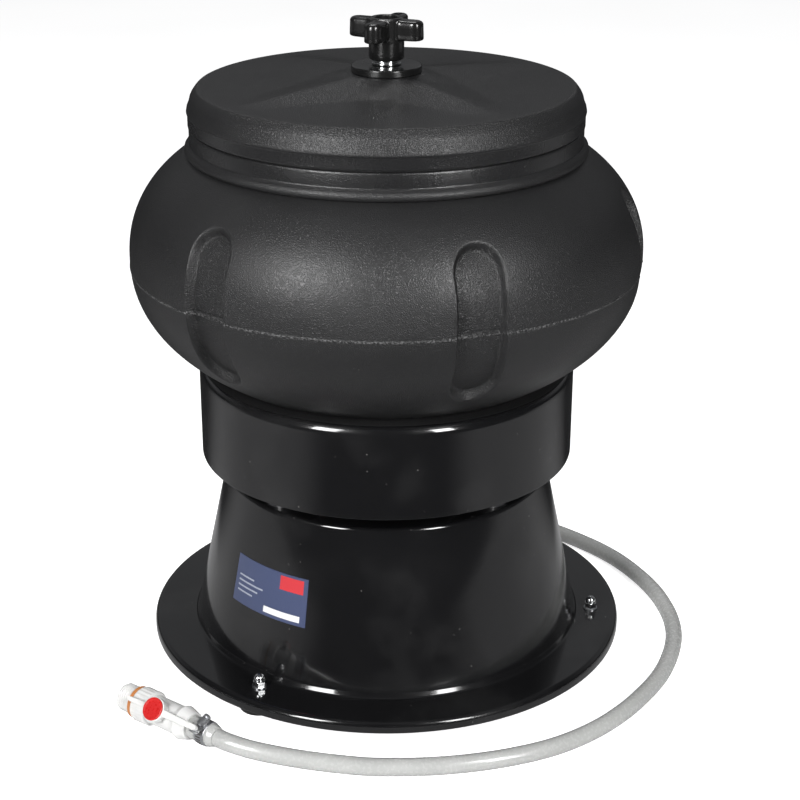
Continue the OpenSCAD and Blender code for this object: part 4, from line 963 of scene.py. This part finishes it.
# %% Lid outline
LID_TOP = 407.0
LID_COLS = 480
rim_part = [
    (126.2, 382.0), (133.8, 382.0), (134.3, 382.5), (134.3, 383.2), (134.3, 389.6), (134.35, 390.3),
    (134.8, 391.0), (134.95, 391.6), (134.8, 392.3), (134.5, 394.0), (133.9, 395.4), (133.3, 396.6),
    (132.8, 398.6), (132.3, 400.5), (131.4, 402.4), (130.3, 404.0), (129.3, 405.3), (128.5, 406.2),
    (127.9, 406.75), (127.3, LID_TOP), (126.6, LID_TOP + 0.02)]
flat_r = np.concatenate([np.arange(125, 54, -1.6), np.arange(54, 26, -1.1),
                         [25.6, 25.0, 24.4, 23.6, 22.5, 20, 15, 10, 5.9]])
top_part = [(r, LID_TOP + 0.5 * ease((126 - r) / 60)) for r in flat_r]
hole = [(5.5, 415.1), (5.5, 400.0), (5.5, 386.3), (5.8, 386.0), (13.6, 386.0), (14.0, 386.4),
        (14.0, 401.4), (14.6, 402.0)]
belly = [(r, 402.0) for r in (30, 60, 90, 112)]
belly += [(114.8, 402.0), (120.2, 396.6), (120.8, 395.8), (120.8, 382), (120.8, 372.3),
          (121.1, 372.0), (125.5, 372.0), (125.8, 372.3), (125.8, 376.0), (125.8, 381.4)]
outline = np.array(rim_part + top_part + hole + belly)
print("lid outline:", len(outline), "points")

# %% Lid with its star
STAR_TURN, ARMS, STAR_H, HUB_R = 36.9, 4, 8.5, 24.3
GAP = 360 / ARMS
v, f = lathe(outline, LID_COLS)
first, last = len(rim_part) - 1, len(rim_part) + len(top_part)
which = np.repeat(np.arange(len(outline)), LID_COLS)
radius = np.hypot(v[:, 0], v[:, 1])
theta = np.degrees(np.arctan2(v[:, 1], v[:, 0]))
off = np.radians((theta - STAR_TURN + GAP / 2) % GAP - GAP / 2)
x, y = radius * np.cos(off), np.abs(radius * np.sin(off))
wide = np.maximum(49.4 - 0.3 * x, 1.0)
ridge = 8.4 * np.clip((123 - x) / 97, 0, 1)
arm_h = ridge * np.clip(1 - (np.hypot(y, 2.0) - 2.0) / wide, 0, 1)
hub_h = STAR_H * np.clip((54 - radius) / 28.0, 0, 1)
base_h = v[:, 2] - LID_TOP
star = soft_max(np.maximum(base_h, 0), soft_max(arm_h, hub_h, 1.2) - 0.15, 0.5)
star = np.minimum(star, STAR_H - ease((radius - HUB_R) / 1.6) * 0.35)
star = np.where(radius < HUB_R, STAR_H, star)
on_top = (which > first) & (which < last)
v[:, 2] = np.where(on_top, LID_TOP + star, v[:, 2])
# Marks for the material: coarser grain up the arms and in the crease, gloss on the skirt
raised = ease(2 * np.clip(star / STAR_H, 0, 1))
crease = np.exp(-((radius - 127.6) / 1.2)**2) * (v[:, 2] > 405)
coarse = np.clip(np.where(on_top, 0.25 + 0.3 * raised, 0.3) + crease, 0, 1)
skirt = 0.7 * np.isin(which, np.arange(2, 6)) + 0.3 * on_top
make("lid_moulding", (v, f), "lid_unit", "black_polyethylene", ["lid"], sharp=50,
     marks={"coarse": coarse, "gloss": skirt})

# %% [markdown]
# ## Drum
# A deep cup of sheet metal, open downwards, under thick gloss black. Support rows stand close
# beside every rounded corner, so a highlight stays tight on the corner and the wide faces stay
# calm. Its holes are cut with exact Booleans, since they sit where nothing bends sharply.

# %% Drum
SCREW_R = 2.75
drum_out = rounded([(5.3, 212.0, 0), (133.0, 212.0, 7.0), (133.0, 145.6, 0.7), (131.0, 145.6, 0.5),
                    (131.0, 210.0, 5.0), (5.3, 210.0, 0)], 7, 0.6)
drum = make("drum_shell", lathe(finer(drum_out, 9), 224), "sprung_unit", "gloss_black_paint",
            ["drum"])
holes = [plug(DRAIN_R, 205, 216, drain_spot)]
holes += [plug(SCREW_R, 205, 216, (47 * x, 47 * y, 0), 24)
          for x, y in ((1, 0), (0, 1), (-1, 0), (0, -1))]
drill(drum, holes)

# %% [markdown]
# ## Base
# The cone, its top ring and the foot flange with its rolled rim are one turned outline, as one
# pressing would be. Openings for grommet, gland, switch and bolts are cut afterwards.

# %% Base
FOOT_R, TOP_R, CONE_LOW, CONE_H = 141, 116.3, 15, 116
CONE = math.atan((FOOT_R - TOP_R) / CONE_H)
BOLTS, BOLT_R, BOLT_TURN = 3, 153, -125


def cone_r(z):
    """The cone's outer radius at height z: it narrows by the tangent of the cone's half angle."""
    return FOOT_R - (z - CONE_LOW) * math.tan(CONE)


base_out = rounded([
    (172.9, 7.0, 0.5), (172.9, 15.0, 3.6), (142.6, 15.0, 0.6), (141.6, 15.9, 0.4),
    (cone_r(18.5), 18.5, 1.6), (cone_r(130.9), 131.0, 2.6), (84.0, 131.0, 0.5), (84.0, 129.0, 0.5),
    (cone_r(129) - 2.1, 129.0, 1.5), (cone_r(18.5) - 2.0, 18.5, 0.3), (140.0, 13.0, 0.8),
    (170.9, 13.0, 2.0), (170.9, 7.0, 0.4)], 6, 0.6)
base = make("base_pressing", lathe(finer(base_out, 9), 288), "base", "gloss_black_paint",
            ["base_housing", "base_deck", "base_flange"])


def on_cone(angle, z, solid):
    """From axes with Z out of the cone and Y up its slope into place on the cone."""
    a = math.radians(angle)
    out = np.array((math.cos(a) * math.cos(CONE), math.sin(a) * math.cos(CONE), math.sin(CONE)))
    across = np.array((-math.sin(a), math.cos(a), 0.0))
    spot = (cone_r(z) * math.cos(a), cone_r(z) * math.sin(a), z)
    return place(solid, spot, across, np.cross(out, across), out)


grommet = plug(9.0, 0, 40, (121 * math.cos(back), 121 * math.sin(back), 30), x=(0, 0, -1),
               y=(-math.sin(back), math.cos(back), 0), z=(math.cos(back), math.sin(back), 0))
gland = on_cone(132, 38, plug(8.25, -10, 10))
switch = on_cone(66, 62, block((18, 26, 20), bevel=0.4, steps=1))
holes = [grommet, gland, switch]
for k in range(BOLTS):
    t = math.radians(BOLT_TURN + 360 / BOLTS * k)
    holes.append(plug(SCREW_R, 10, 18, (BOLT_R * math.cos(t), BOLT_R * math.sin(t), 0), 24))
drill(base, holes)

# %% [markdown]
# ## Data plate
# A thin film plate that follows the cone, with square corners. It is a bent grid with a front, a
# back and a rim. Its UV runs 0 to 1 across and up, so the print stays inside it however it bends;
# a projected decal would smear over the cone's slope.

# %% Data plate
PLATE_TURN, PLATE_WIDE, PLATE_LOW, PLATE_HIGH = -145, 30, 57.5, 33.5
nu, nv = 40, 24
u, w = np.meshgrid(np.linspace(0, 1, nu), np.linspace(0, 1, nv))
turn = np.radians(PLATE_TURN + PLATE_WIDE * u)
zz = PLATE_LOW + PLATE_HIGH * w
sheets = []
for lift in (0.4, 0.02):
    r = cone_r(zz) + lift
    sheets.append(np.stack([r * np.cos(turn), r * np.sin(turn), zz], -1).reshape(-1, 3))
v = np.concatenate(sheets)
front = turn_grid(nv, nu, wrap_cols=False)
number = np.arange(nu * nv).reshape(nv, nu)
rim = np.concatenate([number[0], number[1:, -1], number[-1, -2::-1], number[-2:0:-1, 0]])
after = np.roll(rim, -1)
edges = np.stack([rim, rim + nu * nv, after + nu * nv, after], -1)
faces = np.concatenate([front, front[:, ::-1] + nu * nv, edges]).tolist()
plate = make("data_plate", (v, faces), "base", "plate_print", ["rating_label"])
layer = plate.data.uv_layers.new(name="plate")
spread = np.stack([np.tile(u.ravel(), 2), np.tile(w.ravel(), 2)], -1)
loops = np.zeros(len(plate.data.loops), np.int32)
plate.data.loops.foreach_get("vertex_index", loops)
layer.data.foreach_set("uv", spread[loops].ravel())

# %% [markdown]
# ## Knob, washer and collar
# The knob's plan is a star in polar form: along a ray the outline is the hub's circle or the far
# side of the nearest arm's rounded end, whichever is further out, blended. The same plan is drawn
# in at a few heights for the hub below, the draft of the arms and the rounded edges.

# %% Knob
KNOB_TURN, KNOB_HUB = 65, 11.9
cols = 240
th = np.arange(cols) * 2 * math.pi / cols
delta = (th - math.radians(KNOB_TURN) + math.pi / 4) % (math.pi / 2) - math.pi / 4


def plan(r_arm, reach):
    """Star outline: the ray leaves a rounded arm of radius r_arm centred at reach."""
    s = reach * np.sin(delta)
    inside = np.maximum(r_arm**2 - s**2, 0)
    tip = np.where(np.abs(s) < r_arm, reach * np.cos(delta) + np.sqrt(inside), 0)
    flank = r_arm / np.maximum(np.abs(np.sin(delta)), 1e-3)
    ray = np.where(np.abs(s) < r_arm, tip, flank)
    return soft_max(np.minimum(ray, reach + r_arm), np.full(cols, KNOB_HUB), 2.2)


hub_rings = [(11.5, 424.4), (KNOB_HUB, 424.9), (KNOB_HUB, 430), (KNOB_HUB, 435.5), (12.0, 437.2)]
arm_rings = [(4.8, 20.3, 437.9), (5.6, 20.5, 438.3), (6.0, 20.6, 439.0), (5.95, 20.6, 442.0),
             (5.9, 20.5, 446.0), (5.85, 20.5, 448.6), (5.6, 20.4, 449.5), (5.0, 20.2, 450.3),
             (4.2, 20.0, 450.75), (3.2, 19.7, 450.9)]
crown_and_hole = [(11.4, 451.1), (11.0, 451.5), (10.3, 451.8), (9.6, 451.9), (7.9, 451.9),
                  (7.45, 451.6), (7.4, 451.0), (7.4, 444.0), (7.95, 443.9), (8.0, 443.5),
                  (8.0, 424.6), (8.2, 424.4)]
rings = [(np.full(cols, r), z) for r, z in hub_rings]
rings += [(plan(r_arm, reach), z) for r_arm, reach, z in arm_rings]
rings += [(np.full(cols, r), z) for r, z in crown_and_hole]
v = np.concatenate([np.stack([r * np.cos(th), r * np.sin(th), np.full(cols, z)], -1)
                    for r, z in rings])
make("star_knob", (v, turn_grid(len(rings), cols, wrap_rows=True).tolist()), "knob_unit",
     "phenolic_black", ["clamp_knob"], sharp=48)

# %% Rubber pad and bright collar
# The pad's rubber is as polished as the knob, so it wears the knob's finish
pad = rounded([(5.5, 415.5, 0.3), (23.9, 415.5, 0.7), (23.9, 420.4, 0.9), (5.5, 420.4, 0.3)], 5, 0.4)
make("rubber_pad", lathe(pad, 128), "lid_unit", "black_rubber", ["lid_washer"],
     look="phenolic_black")
ring = rounded([(5.2, 420.7, 0.2), (9.7, 420.7, 0.3), (10.0, 421.1, 0.3), (10.0, 421.9, 0.3),
                (9.2, 422.4, 0.2), (9.9, 422.9, 0.3), (9.9, 423.7, 0.3), (9.5, 424.1, 0.3),
                (5.2, 424.1, 0.2)], 3, 0.1)
make("bright_collar", lathe(ring, 96), "collar_unit", "bright_nut", ["knob_collar"])

# %% [markdown]
# ## Dome nuts on the flange
# One turned outline, a skirt with a dome on it, is trimmed to a hexagon where it is wider than
# one. That gives the curved edges where a real nut's chamfer meets its flats, which a hexagonal
# prism under a sphere doesn't have.

# %% Dome nuts
DOME_R, DOME_MID = 3.75, 5.2
nut_skirt = [(2.5, 0, 0), (4.3, 0, 0.2), (4.9, 0.45, 0.2), (4.9, 3.5, 0.2), (4.2, 4.0, 0.2),
             (DOME_R, 4.1, 0)]
dome = [(DOME_R * math.cos(t), DOME_MID + DOME_R * math.sin(t), 0) for t in np.linspace(0, 1.5, 10)]
nut_inside = [(0.05, 8.95, 0), (0.05, 5.0, 0), (2.5, 4.4, 0)]
nut = hexed(lathe(rounded(nut_skirt + dome + nut_inside, 3, 0.15), 96), 4.0)
nuts = around(place(nut, (0, 0, 16)), BOLTS, BOLT_R, BOLT_TURN)
make("dome_nuts", nuts, "base", "bright_nut", ["acorn_nuts"], sharp=30)

# %% [markdown]
# ## Springs and the inner hose
# The coil springs and the hose inside the base join the sprung part to the base.

# %% Springs
COIL_LOW, COIL_HIGH, COIL_R, COIL_TURNS, WIRE_R = 135.4, 205.6, 9.55, 8.0, 1.4
t = np.linspace(0, 1, 300)
# The height hardly rises over the closed end turns and then runs evenly up between them
lead = np.clip((t - 0.07) / 0.86, 0, 1)
rise = 0.03 * t + 0.97 * ease(lead) * 0.25 + 0.97 * lead * 0.75
coil_z = COIL_LOW + (COIL_HIGH - COIL_LOW) * rise
coil_a = t * 2 * math.pi * COIL_TURNS
one = sweep(np.stack([COIL_R * np.cos(coil_a), COIL_R * np.sin(coil_a), coil_z], -1), WIRE_R, 12)
springs = make("coil_springs", around(one, 4, 99, 45), None, "spring_steel", ["springs"])
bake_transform(springs)

# %% Inner hose
BEND_R, OUTLET_Z = 55, 30
drop = [(DRAIN_OUT, z) for z in (188, 170, 155, 137, 120, 100)]
drop += [(DRAIN_OUT + BEND_R * (1 - math.cos(q)), OUTLET_Z + BEND_R * (1 - math.sin(q)))
         for q in np.radians(np.arange(0, 91, 15))]
drop += [(130, OUTLET_Z), (134.8, OUTLET_Z)]
run = smooth_path([(r * math.cos(back), r * math.sin(back), z) for r, z in drop], 6)
inner = make("inner_drain_hose", sweep(run, HOSE_R, 24), None, "milky_hose", ["inner_hose"])
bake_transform(inner)

# %% [markdown]
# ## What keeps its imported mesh
# Bolts, washers, seats, the motor inside the drum, the capacitor, gland and switch are plain turned
# or boxed parts that hardly show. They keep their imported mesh, and each gets the detailed finish of
# its slot in the record.

# %% Finishes for the rest
dressed = 0
for entry in frame["record"]["subparts"]:
    part = NODES[entry["node"]]
    if part.hide_render:
        continue
    look = MATS[entry["material_slot"]]
    for seat in part.material_slots:
        seat.material = look
    if not part.material_slots:
        part.data.materials.append(look)
    dressed += 1
print(dressed, "packed parts dressed")
